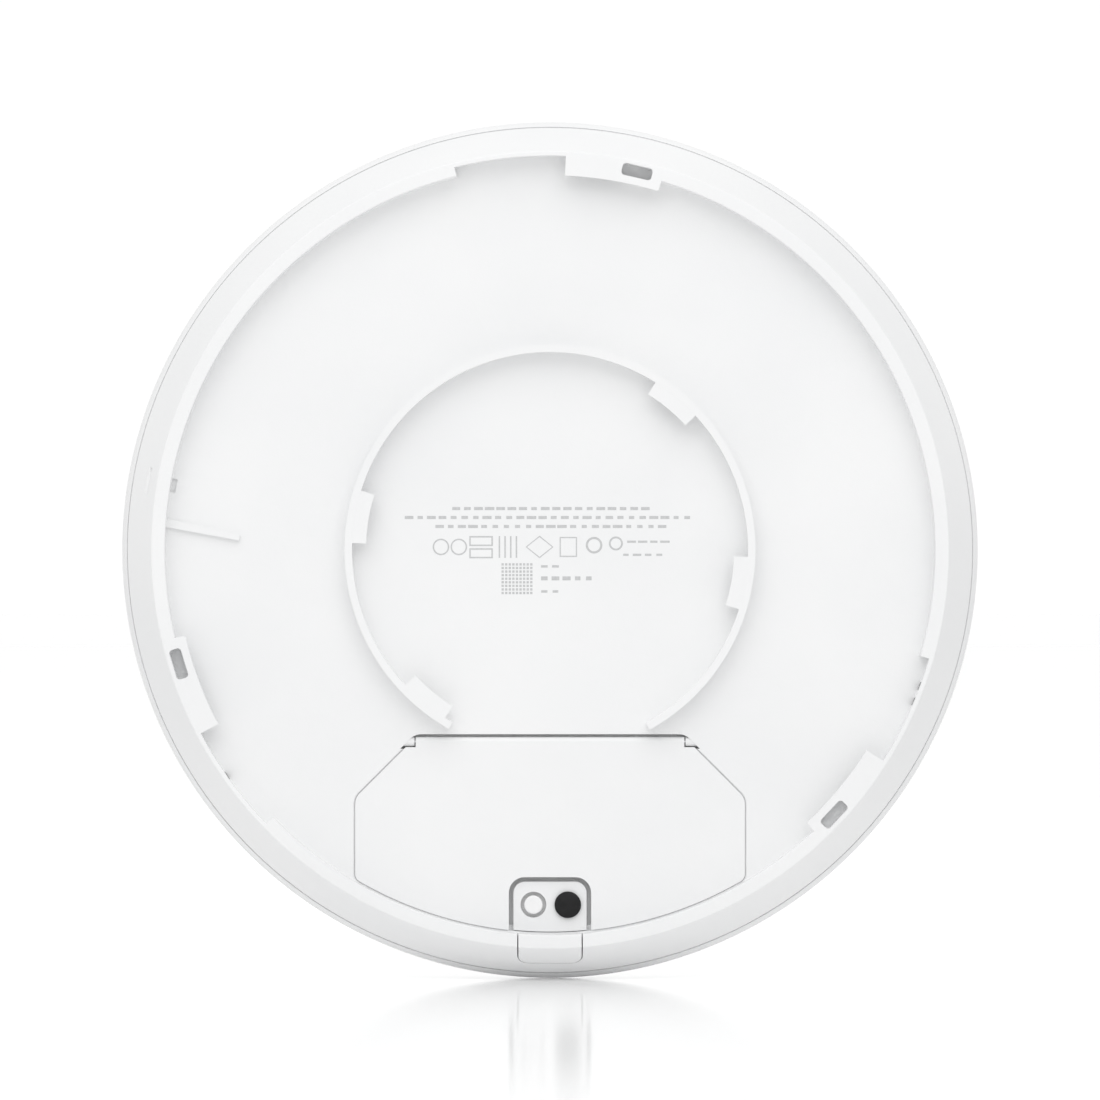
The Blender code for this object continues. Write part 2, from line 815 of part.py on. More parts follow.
def make_boards():
    depths = (BOARD_DEPTH, BOARD_DEPTH + BOARD_THICKNESS)
    holes = [circle(x, up, 1.7, 12) for x, up in BOSSES]
    extruded("main_board", [board_outline()] + holes, depths, BOARD)
    lead_holes = [circle(*polar(46.0, angle), 1.6, 12) for angle in ANTENNA_ANGLES]
    screw_holes = [circle(x, up, 1.7, 12) for x, up in STANDOFFS]
    rim = arc(85.0, 0.0, 352.5, 7.5)
    extruded("antenna_plate", [rim] + lead_holes + screw_holes, PLATE_DEPTHS, TIN)
    ring = [arc(41.0, 0.0, 350.0, 10.0), arc(28.5, 0.0, 350.0, 10.0)]
    extruded("led_board", ring, (22.5, 23.5), BOARD)


def make_heat_sink():
    near, far = SINK_DEPTHS
    foot = math.degrees(math.acos(20.0 / 82.0))
    outline = arc(82.0, -(180 - foot), 180 - foot, 7.5)
    holes = [circle(x, up, 3.8, 16) for x, up in BOSSES[:2]]
    sink = extruded("heat_sink", [outline] + holes, (near, far), CAST)
    groove = 14.0
    for i in range(5):
        up = 66.0 - i * groove
        slot = block("sink_groove_" + str(i), (-38.0, 38.0), (up - 1.5, up + 1.5), (7.0, 9.6), CAST)
        cut(sink, slot)
    return sink


def make_chips():
    near = 12.9
    far = BOARD_DEPTH - 0.3
    block("processor", (-14.0, 14.0), (16.0, 44.0), (near, far), CHIP)
    block("radio_chip", (28.0, 44.0), (4.0, 20.0), (near, far), CHIP)
    block("memory_chip", (-38.0, -26.0), (22.0, 38.0), (14.0, far), CHIP)
    block("flash_chip", (-36.0, -28.0), (4.0, 14.0), (14.0, far), CHIP)
    block("power_controller", (14.0, 21.0), (-14.0, -7.0), (14.0, far), CHIP)
    block("thermal_pad_processor", (-12.0, 12.0), (18.0, 42.0), (11.8, 12.6), PAD)
    block("thermal_pad_radio", (29.0, 43.0), (5.0, 19.0), (11.8, 12.6), PAD)


def make_power_parts():
    far = BOARD_DEPTH - 0.3
    block("ethernet_magnetics", (-5.0, 9.0), (-37.5, -24.0), (9.6, far), CHIP, 0.4)
    block("power_transformer", (34.0, 50.0), (-38.5, -24.0), (8.4, far), DARK, 0.5)
    block("power_inductor", (14.5, 23.5), (-37.5, -28.5), (10.0, far), DARK, 1.2)
    for i, spot in enumerate(((-40.0, -30.0), (-50.0, -30.0))):
        profile = [(0.0, 8.6), (3.6, 8.6), (4.0, 9.0), (4.0, far), (0.0, far)]
        turned("capacitor_" + str(i + 1), profile, CAST, spot, 20)


def make_jack():
    near, far = JACK_DEPTHS
    half = JACK_WIDTH / 2
    shell = block("ethernet_jack", (JACK_X - half, JACK_X + half), (JACK_FOOT, JACK_TOP), (near, far), TIN)
    mouth = block(
        "jack_mouth",
        (JACK_X - 6.0, JACK_X + 6.0),
        (JACK_FOOT - 1.0, -29.0),
        (near + 2.6, far - 1.0),
        TIN,
    )
    key = block(
        "jack_key_slot",
        (JACK_X - 3.2, JACK_X + 3.2),
        (JACK_FOOT - 1.0, -31.0),
        (near + 1.0, near + 4.0),
        TIN,
    )
    cut(shell, mouth, key)
    comb = block(
        "jack_contacts",
        (JACK_X - 4.8, JACK_X + 4.8),
        (-31.4, -29.4),
        (far - 4.2, far - 1.3),
        GOLD,
    )
    for i in range(8):
        x = JACK_X - 3.57 + i * 1.02
        finger = block(
            "contact_" + str(i),
            (x - 0.25, x + 0.25),
            (-41.0, -30.4),
            (far - 2.3, far - 1.7),
            GOLD,
        )
        unite(comb, finger)


def make_shields():
    near = BOARD_DEPTH + BOARD_THICKNESS + 0.3
    for name, xs, ups in (
        ("processor_shield", (-24.0, 12.0), (8.0, 40.0)),
        ("radio_shield", (20.0, 50.0), (-8.0, 16.0)),
    ):
        shield = block(name, xs, ups, (near, near + 3.0), TIN)
        inner = block(
            name + "_inside",
            (xs[0] + 0.5, xs[1] - 0.5),
            (ups[0] + 0.5, ups[1] - 0.5),
            (near - 1.0, near + 2.5),
            TIN,
        )
        cut(shield, inner)


def make_antennas():
    front = PLATE_DEPTHS[1]
    for i, angle in enumerate(ANTENNA_ANGLES):
        tag = str(i + 1)
        folded = [
            (-8.0, front + 0.3),
            (0.0, front + 0.3),
            (0.0, 27.6),
            (10.0, 27.6),
            (10.0, 28.2),
            (-0.6, 28.2),
            (-0.6, front + 0.9),
            (-8.0, front + 0.9),
        ]
        antenna = extruded("antenna_" + tag, [folded], (-9.0, 9.0), TIN)
        turn = Matrix.Rotation(math.radians(90.0 - angle), 4, "Y")
        lay = Matrix(((1, 0, 0, ANTENNA_RADIUS * MM), (0, 0, 1, 0), (0, -1, 0, 0), (0, 0, 0, 1)))
        antenna.data.transform(turn.inverted() @ lay)
        lead_points = [
            (54.6, front + 1.0),
            (50.0, front + 1.0),
            (47.2, front + 0.7),
            (46.0, front - 0.4),
            (46.0, 20.0),
            (46.0, 17.7),
        ]
        lead = [(*polar(radius, angle), depth) for radius, depth in lead_points]
        tube("antenna_lead_" + tag, lead, 0.6, LEAD)


def make_fasteners():
    screw_profile = [(0.0, 0.0), (2.1, 0.0), (2.7, 0.5), (2.7, 1.6), (1.2, 1.6), (1.2, 8.0), (0.0, 8.0)]
    head = BOARD_DEPTH + BOARD_THICKNESS + 1.9
    for i, spot in enumerate(BOSSES):
        profile = [(radius, head - depth) for radius, depth in reversed(screw_profile)]
        turned("board_screw_" + str(i + 1), profile, STEEL, spot, 16)
    head = PLATE_DEPTHS[1] + 1.9
    for i, spot in enumerate(STANDOFFS):
        profile = [(radius, head - depth * 0.6) for radius, depth in reversed(screw_profile)]
        turned("plate_screw_" + str(i + 1), profile, STEEL, spot, 16)
        near = BOARD_DEPTH + BOARD_THICKNESS + 0.3
        hexagon = circle(*spot, 2.9, 6)
        bore = circle(*spot, 1.55, 12)
        extruded("standoff_" + str(i + 1), [hexagon, bore], (near, PLATE_DEPTHS[0] - 0.3), STEEL)


# ---------------------------------------------------------------- front

def make_front():
    outer_radii = [98.1, 97.0, 94.8, 91.5, 87.0, 80.0, 70.0, 57.0, FRONT_HOLE]
    inner_radii = [FRONT_HOLE, 60.0, 74.0, 84.0, 90.5, 94.3]
    profile = [
        (94.3, 9.0),
        (94.3, REAR_SKIRT_DEPTH + PARTING_GAP),
        (97.3, REAR_SKIRT_DEPTH + PARTING_GAP),
        (98.2, 12.0),
        (RADIUS, 13.8),
        (RADIUS, DOME_START),
    ]
    profile += [(radius, dome_depth(radius)) for radius in outer_radii]
    profile += [(radius, dome_depth(radius, WALL)) for radius in inner_radii]
    profile += [(96.3, DOME_START), (96.3, 14.2), (92.8, 13.0), (92.8, 9.0)]
    turned("front_cover", profile, RADOME)
    top = dome_depth(LIGHT_OUTER)
    inside = dome_depth(FRONT_HOLE, WALL)
    light = [
        (LIGHT_INNER, 24.8),
        (LIGHT_OUTER, 24.8),
        (LIGHT_OUTER, inside - 1.3),
        (38.8, inside - 1.3),
        (38.8, inside - 0.3),
        (LIGHT_OUTER, inside - 0.3),
        (LIGHT_OUTER, top),
        (LIGHT_INNER, top + 0.01),
        (LIGHT_INNER, inside - 0.3),
        (31.0, inside - 0.3),
        (31.0, inside - 1.3),
        (LIGHT_INNER, inside - 1.3),
    ]
    turned("light_ring", light, DIFFUSER, (0.0, 0.0), 72)
    cap = [
        (0.0, inside),
        (CAP_RADIUS, inside),
        (CAP_RADIUS, dome_depth(CAP_RADIUS) - 0.2),
        (CAP_RADIUS - 0.3, dome_depth(CAP_RADIUS)),
        (22.0, dome_depth(22.0)),
        (0.0, THICKNESS),
    ]
    turned("centre_cap", cap, RADOME, (0.0, 0.0), 72)
    for i, angle in enumerate(LED_ANGLES):
        x, up = polar(LED_RADIUS, angle)
        block("led_" + str(i + 1), (x - 1.6, x + 1.6), (up - 1.6, up + 1.6), (23.8, 24.5), LED)


make_rear_cover()
make_cable_exit_tab()
make_port_door()
make_hinge_pin()
make_buttons()
make_boards()
make_heat_sink()
make_chips()
make_power_parts()
make_jack()
make_shields()
make_antennas()
make_fasteners()
make_front()
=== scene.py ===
"""Finished look of a round ceiling access point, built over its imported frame.

The disc stands on its rim with its mounting side facing -Y and its cable exit at the bottom.
Sizes in the classes are millimetres; places inside the helpers are (x, up, depth), where
depth runs from the rear rim towards the front dome.
"""

import json
import logging
import math
from dataclasses import dataclass, field
from enum import Enum, auto

import bmesh
import bpy
from mathutils import Matrix, Vector


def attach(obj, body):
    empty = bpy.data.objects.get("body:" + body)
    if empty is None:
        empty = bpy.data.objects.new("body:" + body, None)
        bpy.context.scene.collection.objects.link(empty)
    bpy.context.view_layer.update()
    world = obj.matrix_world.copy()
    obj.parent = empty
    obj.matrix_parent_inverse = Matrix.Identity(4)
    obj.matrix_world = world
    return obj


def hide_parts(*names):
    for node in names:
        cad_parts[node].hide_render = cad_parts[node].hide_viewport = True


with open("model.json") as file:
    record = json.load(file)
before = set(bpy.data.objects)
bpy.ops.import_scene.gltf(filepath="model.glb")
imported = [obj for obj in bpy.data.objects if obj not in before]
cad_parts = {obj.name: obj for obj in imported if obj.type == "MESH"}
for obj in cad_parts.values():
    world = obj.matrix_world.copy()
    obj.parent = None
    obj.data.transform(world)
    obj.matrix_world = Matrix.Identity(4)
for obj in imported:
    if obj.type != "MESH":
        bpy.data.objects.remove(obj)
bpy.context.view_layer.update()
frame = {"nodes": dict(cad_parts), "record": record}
LOG = logging.getLogger("access_point")
MM = 0.001

Point = tuple[float, float]
Triple = tuple[float, float, float]
Outline = list[Point]


class Body(str, Enum):
    """Rigid bodies of the frame that pieces ride on."""

    HOUSING = "housing"
    DOOR = "door"
    BUTTON = "button"
    PLUG = "plug"
    EXIT_TAB = "exit_tab"


class Slot(str, Enum):
    """Material slots of the record."""

    WHITE = "white_plastic"
    BUTTON = "button_plastic"
    RADOME = "radome_plastic"
    DIFFUSER = "light_diffuser"
    BLACK_RUBBER = "black_rubber"
    BLACK_PLASTIC = "black_plastic"
    BOARD = "circuit_board"
    STEEL = "steel"
    TIN = "tin_plate"
    CAST = "cast_aluminium"
    GOLD = "gold_plate"
    RESIN = "chip_resin"
    PAD = "thermal_pad"
    SHEATH = "lead_sheath"
    LED = "led_resin"


class Joining(str, Enum):
    """How a shaping tool acts on a blank."""

    CUT = "DIFFERENCE"
    ADD = "UNION"
    KEEP = "INTERSECT"


# ------------------------------------------------------------------ flat outlines

def polar(radius: float, angle: float) -> Point:
    """Place a point on a circle.

    Args:
        radius: distance from the disc's axis.
        angle: degrees from straight up, clockwise as seen from the rear.

    Returns:
        The point as (x, up).
    """
    turn = math.radians(angle)
    return (radius * math.sin(turn), radius * math.cos(turn))


def arc(radius: float, start: float, end: float, step: float = 1.25) -> Outline:
    """Draw an arc about the disc's axis.

    Args:
        radius: the arc's radius.
        start: first angle in degrees.
        end: last angle in degrees.
        step: largest angle between two points.

    Returns:
        The arc's points, ends included.
    """
    count = max(1, math.ceil(abs(end - start) / step))
    return [polar(radius, start + (end - start) * i / count) for i in range(count + 1)]


def sector(inner: float, outer: float, start: float, end: float) -> Outline:
    """Draw a closed ring sector.

    Args:
        inner: inner radius.
        outer: outer radius.
        start: first angle in degrees.
        end: last angle in degrees.

    Returns:
        The sector's outline.
    """
    return arc(outer, start, end) + arc(inner, end, start)


def rounded(points: Outline, radii: list[float], count: int = 8) -> Outline:
    """Round chosen corners of an outline.

    Args:
        points: the sharp outline.
        radii: one radius for each corner, 0 where it stays sharp.
        count: pieces in each corner's arc.

    Returns:
        The outline with its corners drawn as arcs.
    """
    result: Outline = []
    for i, (point, radius) in enumerate(zip(points, radii)):
        if radius == 0:
            result.append(point)
            continue
        corner = Vector(point)
        before = (Vector(points[i - 1]) - corner).normalized()
        after = (Vector(points[(i + 1) % len(points)]) - corner).normalized()
        half = before.angle(after) / 2
        centre = corner + (before + after).normalized() * radius / math.sin(half)
        first = corner + before * radius / math.tan(half) - centre
        last = corner + after * radius / math.tan(half) - centre
        sweep = first.angle_signed(last)
        for k in range(count + 1):
            spoke = first.copy()
            spoke.rotate(Matrix.Rotation(-sweep * k / count, 2))
            result.append(tuple(centre + spoke))
    return result


def circle(x: float, up: float, radius: float, count: int = 64) -> Outline:
    """Draw a circle.

    Args:
        x: centre across.
        up: centre height.
        radius: the circle's radius.
        count: number of points.

    Returns:
        The circle's outline.
    """
    turns = [2 * math.pi * i / count for i in range(count)]
    return [(x + radius * math.cos(t), up + radius * math.sin(t)) for t in turns]


def fillet(centre: Point, radius: float, start: float, end: float, count: int = 4) -> Outline:
    """Draw a small arc of a turned profile.

    Args:
        centre: the arc's centre as (radius, depth).
        radius: the arc's radius.
        start: first angle in degrees, 0 along +radius and 90 along +depth.
        end: last angle in degrees.
        count: pieces in the arc.

    Returns:
        The arc's points as (radius, depth).
    """
    turns = [math.radians(start + (end - start) * i / count) for i in range(count + 1)]
    return [(centre[0] + radius * math.cos(t), centre[1] + radius * math.sin(t)) for t in turns]


# ------------------------------------------------------------------ meshes

def place(x: float, up: float, depth: float) -> Vector:
    """Turn (x, up, depth) in millimetres into a point of the frame in metres."""
    return Vector((x, depth, up)) * MM


def show(name: str, mesh: bpy.types.Mesh, sharp: float = 35.0) -> bpy.types.Object:
    """Put a mesh in the scene as a smooth-shaded object.

    Args:
        name: the piece's name.
        mesh: its mesh, in the frame's metres.
        sharp: edges that turn by more degrees than this stay crisp.

    Returns:
        The new object.
    """
    piece = bpy.data.objects.new(name, mesh)
    bpy.context.scene.collection.objects.link(piece)
    if mesh.polygons:
        mesh.shade_smooth()
        mesh.set_sharp_from_angle(angle=math.radians(sharp))
    return piece


def closed(builder: bmesh.types.BMesh, name: str) -> bpy.types.Mesh:
    """Write a closed form out as a mesh with its faces pointing outwards.

    Args:
        builder: the form, which is used up.
        name: the mesh's name.

    Returns:
        The mesh.
    """
    bmesh.ops.recalc_face_normals(builder, faces=builder.faces)
    mesh = bpy.data.meshes.new(name)
    builder.to_mesh(mesh)
    builder.free()
    return mesh


def plate(name: str, outlines: list[Outline], near: float, far: float) -> bpy.types.Object:
    """Fill a flat outline, with any holes, between two depths.

    Args:
        name: the piece's name.
        outlines: the outer outline first, then its holes.
        near: depth of the rear face.
        far: depth of the front face.

    Returns:
        The plate as an object.
    """
    curve = bpy.data.curves.new(name, "CURVE")
    curve.dimensions = "2D"
    curve.fill_mode = "BOTH"
    curve.extrude = abs(far - near) * MM / 2
    for outline in outlines:
        spline = curve.splines.new("POLY")
        spline.points.add(len(outline) - 1)
        for point, (x, up) in zip(spline.points, outline):
            point.co = (x * MM, up * MM, 0.0, 1.0)
        spline.use_cyclic_u = True
    guide = bpy.data.objects.new(name + "_outline", curve)
    bpy.context.scene.collection.objects.link(guide)
    flat = settled_mesh(guide)
    builder = bmesh.new()
    builder.from_mesh(flat)
    bmesh.ops.remove_doubles(builder, verts=builder.verts, dist=0.000001)
    low, high = min(near, far) * MM, max(near, far) * MM
    for vertex in builder.verts:
        x, up, side = vertex.co
        vertex.co = (x, low if side > 0 else high, up)
    bpy.data.objects.remove(guide, do_unlink=True)
    return show(name, closed(builder, name))


def turned(name: str, profile: Outline, centre: Point = (0.0, 0.0), steps: int = 288) -> bpy.types.Object:
    """Turn a closed profile about the depth axis.

    Args:
        name: the piece's name.
        profile: points as (radius, depth).
        centre: the axis's place as (x, up).
        steps: facets in the full turn.

    Returns:
        The turned form as an object.
    """
    mesh = bpy.data.meshes.new(name)
    spots = [(radius * MM, depth * MM, 0.0) for radius, depth in profile]
    edges = [(i, i + 1) for i in range(len(spots) - 1)]
    if profile[0][0] > 0 or profile[-1][0] > 0:
        edges.append((len(spots) - 1, 0))
    mesh.from_pydata(spots, edges, [])
    blank = bpy.data.objects.new(name + "_blank", mesh)
    bpy.context.scene.collection.objects.link(blank)
    screw = blank.modifiers.new("turn", "SCREW")
    screw.axis = "Y"
    screw.angle = 2 * math.pi
    screw.steps = steps
    screw.render_steps = steps
    screw.use_merge_vertices = True
    screw.merge_threshold = 0.000005
    round_mesh = settled_mesh(blank)
    bpy.data.objects.remove(blank, do_unlink=True)
    builder = bmesh.new()
    builder.from_mesh(round_mesh)
    bmesh.ops.translate(builder, verts=builder.verts, vec=place(centre[0], centre[1], 0.0))
    return show(name, closed(builder, name))


def block(name: str, xs: Point, ups: Point, depths: Point) -> bpy.types.Object:
    """Make a box between two values in each direction.

    Args:
        name: the piece's name.
        xs: left and right.
        ups: bottom and top.
        depths: rear and front.

    Returns:
        The box as an object.
    """
    builder = bmesh.new()
    bmesh.ops.create_cube(builder, size=1.0)
    for vertex in builder.verts:
        x = xs[1] if vertex.co.x > 0 else xs[0]
        depth = depths[1] if vertex.co.y > 0 else depths[0]
        up = ups[1] if vertex.co.z > 0 else ups[0]
        vertex.co = place(x, up, depth)
    return show(name, closed(builder, name))


def rod(name: str, radius: float, centre: Point, xs: Point, count: int = 48) -> bpy.types.Object:
    """Make a rod that lies across the disc.

    Args:
        name: the piece's name.
        radius: the rod's radius.
        centre: its axis as (up, depth).
        xs: left and right ends.
        count: facets round it.

    Returns:
        The rod as an object.
    """
    builder = bmesh.new()
    spot = place((xs[0] + xs[1]) / 2, centre[0], centre[1])
    bmesh.ops.create_cone(
        builder,
        cap_ends=True,
        segments=count,
        radius1=radius * MM,
        radius2=radius * MM,
        depth=abs(xs[1] - xs[0]) * MM,
        matrix=Matrix.Translation(spot) @ Matrix.Rotation(math.radians(90), 4, "Y"),
    )
    return show(name, closed(builder, name))


def channel(name: str, half: float, depth: float, corner: float, ups: Point) -> bpy.types.Object:
    """Make a U-section bar that runs upwards, open side to the rear.

    Args:
        name: the piece's name.
        half: half its width.
        depth: depth of its round-cornered floor.
        corner: radius of its two floor corners.
        ups: bottom and top ends.

    Returns:
        The bar as an object.
    """
    square = [(-half, -1.0), (half, -1.0), (half, depth), (-half, depth)]
    outline = rounded(square, [0.0, 0.0, corner, corner])
    builder = bmesh.new()
    low = [builder.verts.new(place(x, min(ups), deep)) for x, deep in outline]
    lifted = bmesh.ops.extrude_face_region(builder, geom=[builder.faces.new(low)])
    tops = [item for item in lifted["geom"] if isinstance(item, bmesh.types.BMVert)]
    bmesh.ops.translate(builder, verts=tops, vec=(0.0, 0.0, abs(ups[1] - ups[0]) * MM))
    return show(name, closed(builder, name))


def settled_mesh(piece: bpy.types.Object) -> bpy.types.Mesh:
    """Work a piece's modifiers into a mesh.

    Args:
        piece: the piece, which is left as it is.

    Returns:
        Its mesh as the modifiers shape it.
    """
    bpy.context.view_layer.update()
    evaluated = piece.evaluated_get(bpy.context.evaluated_depsgraph_get())
    return bpy.data.meshes.new_from_object(evaluated)


def work(blank: bpy.types.Object, joining: Joining, *tools: bpy.types.Object) -> bpy.types.Object:
    """Shape a blank with tools, which are used up.

    Args:
        blank: the form to shape.
        joining: what each tool does to it.
        tools: closed forms, in the order they are applied.

    Returns:
        The same object with its new mesh.
    """
    for tool in tools:
        boolean = blank.modifiers.new(tool.name, "BOOLEAN")
        boolean.operation = joining.value
        boolean.solver = "EXACT"
        boolean.object = tool
    mesh = settled_mesh(blank)
    blank.modifiers.clear()
    blank.data = mesh
    for tool in tools:
        bpy.data.objects.remove(tool, do_unlink=True)
    return blank


def ease(piece: bpy.types.Object, width: float, segments: int = 2, angle: float = 38.0) -> bpy.types.Object:
    """Ease a piece's hard edges, as a mould does.

    Args:
        piece: the piece.
        width: width of the rounding in millimetres.
        segments: strips across each rounding.
        angle: edges that turn by more degrees than this are eased.

    Returns:
        The same object.
    """
    builder = bmesh.new()
    builder.from_mesh(piece.data)
    bmesh.ops.remove_doubles(builder, verts=builder.verts, dist=0.000004)
    bmesh.ops.dissolve_limit(
        builder,
        angle_limit=math.radians(0.2),
        verts=builder.verts,
        edges=builder.edges,
    )
    builder.to_mesh(piece.data)
    builder.free()
    bevel = piece.modifiers.new("eased_edges", "BEVEL")
    bevel.width = width * MM
    bevel.segments = segments
    bevel.limit_method = "ANGLE"
    bevel.angle_limit = math.radians(angle)
    bevel.use_clamp_overlap = True
    bevel.miter_outer = "MITER_ARC"
    mesh = settled_mesh(piece)
    piece.modifiers.clear()
    piece.data = mesh
    mesh.shade_smooth()
    mesh.set_sharp_from_angle(angle=math.radians(50))
    weighted = piece.modifiers.new("even_shading", "WEIGHTED_NORMAL")
    weighted.keep_sharp = True
    weighted.weight = 80
    return piece


# ------------------------------------------------------------------ finishes

@dataclass
class Recipe:
    """A material's node tree while it is being mixed."""

    name: str
    tree: bpy.types.NodeTree = field(init=False)
    shader: bpy.types.Node = field(init=False)
    coords: bpy.types.Node = field(init=False)
    material: bpy.types.Material = field(init=False)

    def __post_init__(self) -> None:
        """Start the tree with its shader and the piece's own coordinates."""
        self.material = bpy.data.materials.new(self.name)
        self.material.use_nodes = True
        self.tree = self.material.node_tree
        self.shader = self.tree.nodes["Principled BSDF"]
        self.coords = self.tree.nodes.new("ShaderNodeTexCoord")

    def link(self, source: bpy.types.NodeSocket, target: bpy.types.NodeSocket) -> None:
        """Join two sockets."""
        self.tree.links.new(source, target)

    def noise(self, size: float, detail: float = 2.0, stretch: Triple = (1, 1, 1)) -> bpy.types.NodeSocket:
        """Add noise of a real feature size.

        Args:
            size: feature size in millimetres.
            detail: octaves of finer detail.
            stretch: scale of the pattern along each axis.

        Returns:
            The noise's value.
        """
        mapping = self.tree.nodes.new("ShaderNodeMapping")
        mapping.inputs["Scale"].default_value = stretch
        texture = self.tree.nodes.new("ShaderNodeTexNoise")
        texture.inputs["Scale"].default_value = 1.0 / (size * MM)
        texture.inputs["Detail"].default_value = detail
        self.link(self.coords.outputs["Object"], mapping.inputs["Vector"])
        self.link(mapping.outputs["Vector"], texture.inputs["Vector"])
        return texture.outputs["Fac"]

    def ramp(self, source: bpy.types.NodeSocket, low: float, high: float) -> bpy.types.NodeSocket:
        """Bring a 0 to 1 value into a range.

        Args:
            source: the value.
            low: result where it is 0.3.
            high: result where it is 0.7.

        Returns:
            The value in its new range.
        """
        node = self.tree.nodes.new("ShaderNodeMapRange")
        node.inputs["From Min"].default_value = 0.3
        node.inputs["From Max"].default_value = 0.7
        node.inputs["To Min"].default_value = low
        node.inputs["To Max"].default_value = high
        self.link(source, node.inputs["Value"])
        return node.outputs["Result"]

    def tint(self, source: bpy.types.NodeSocket, dark: Triple, light: Triple) -> bpy.types.NodeSocket:
        """Choose between two colours by a value.

        Args:
            source: the value, 0 to 1.
            dark: colour at 0.3.
            light: colour at 0.7.

        Returns:
            The mixed colour.
        """
        node = self.tree.nodes.new("ShaderNodeValToRGB")
        node.color_ramp.elements[0].position = 0.3
        node.color_ramp.elements[0].color = (*dark, 1.0)
        node.color_ramp.elements[1].position = 0.7
        node.color_ramp.elements[1].color = (*light, 1.0)
        self.link(source, node.inputs["Fac"])
        return node.outputs["Color"]

    def bump(self, heights: list[tuple[bpy.types.NodeSocket, float]]) -> None:
        """Raise the surface by one or more patterns.

        Args:
            heights: pairs of a pattern and its depth in millimetres.
        """
        normal = None
        for source, depth in heights:
            node = self.tree.nodes.new("ShaderNodeBump")
            node.inputs["Strength"].default_value = 1.0
            node.inputs["Distance"].default_value = depth * MM
            self.link(source, node.inputs["Height"])
            if normal is not None:
                self.link(normal, node.inputs["Normal"])
            normal = node.outputs["Normal"]
        self.link(normal, self.shader.inputs["Normal"])


@dataclass(frozen=True)
class MouldedPlastic:
    """Plastic from a finely eroded mould: even grain, faint flow marks."""

    name: str
    light: Triple = (0.875, 0.878, 0.88)
    dark: Triple = (0.845, 0.85, 0.855)
    roughness: float = 0.46
    grain: float = 0.32
    depth: float = 0.012
    specular: float = 0.4

    def material(self) -> bpy.types.Material:
        """Mix the material.

        Returns:
            The material with its node tree.
        """
        recipe = Recipe(self.name)
        flow = recipe.noise(38.0, 3.0)
        fine = recipe.noise(self.grain, 3.0)
        pores = recipe.noise(self.grain * 3.1, 2.0)
        recipe.link(recipe.tint(flow, self.dark, self.light), recipe.shader.inputs["Base Color"])
        spread = recipe.ramp(pores, self.roughness - 0.04, self.roughness + 0.06)
        recipe.link(spread, recipe.shader.inputs["Roughness"])
        recipe.bump([(pores, self.depth * 0.6), (fine, self.depth)])
        recipe.shader.inputs["Specular IOR Level"].default_value = self.specular
        return recipe.material


@dataclass(frozen=True)
class MilkyDiffuser:
    """Translucent white polycarbonate that spreads the light of the lamps behind it."""

    name: str = "milky_diffuser"

    def material(self) -> bpy.types.Material:
        """Mix the material.

        Returns:
            The material with its node tree.
        """
        recipe = Recipe(self.name)
        cloud = recipe.noise(6.0, 2.0)
        grain = recipe.noise(0.25, 2.0)
        colour = recipe.tint(cloud, (0.70, 0.76, 0.82), (0.76, 0.82, 0.87))
        recipe.link(colour, recipe.shader.inputs["Base Color"])
        recipe.link(recipe.ramp(grain, 0.2, 0.3), recipe.shader.inputs["Roughness"])
        recipe.bump([(grain, 0.004)])
        recipe.shader.inputs["Subsurface Weight"].default_value = 0.2
        recipe.shader.inputs["Subsurface Scale"].default_value = 0.001
        return recipe.material


@dataclass(frozen=True)
class Rubber:
    """Soft black rubber with a dull bloom."""

    name: str = "soft_rubber"

    def material(self) -> bpy.types.Material:
        """Mix the material.

        Returns:
            The material with its node tree.
        """
        recipe = Recipe(self.name)
        bloom = recipe.noise(1.6, 4.0)
        grain = recipe.noise(0.18, 3.0)
        colour = recipe.tint(bloom, (0.004, 0.004, 0.0045), (0.009, 0.009, 0.0095))
        recipe.link(colour, recipe.shader.inputs["Base Color"])
        recipe.link(recipe.ramp(grain, 0.5, 0.68), recipe.shader.inputs["Roughness"])
        recipe.bump([(grain, 0.012)])
        recipe.shader.inputs["Specular IOR Level"].default_value = 0.3
        return recipe.material


@dataclass(frozen=True)
class Metal:
    """Plated, drawn or cast metal."""

    name: str
    dark: Triple
    light: Triple
    roughness: float
    grain: float = 0.4
    depth: float = 0.004
    stretch: Triple = (1.0, 1.0, 1.0)

    def material(self) -> bpy.types.Material:
        """Mix the material.

        Returns:
            The material with its node tree.
        """
        recipe = Recipe(self.name)
        cloud = recipe.noise(9.0, 3.0)
        grain = recipe.noise(self.grain, 3.0, self.stretch)
        recipe.link(recipe.tint(cloud, self.dark, self.light), recipe.shader.inputs["Base Color"])
        spread = recipe.ramp(grain, self.roughness - 0.08, self.roughness + 0.1)
        recipe.link(spread, recipe.shader.inputs["Roughness"])
        recipe.bump([(grain, self.depth)])
        recipe.shader.inputs["Metallic"].default_value = 1.0
        return recipe.material


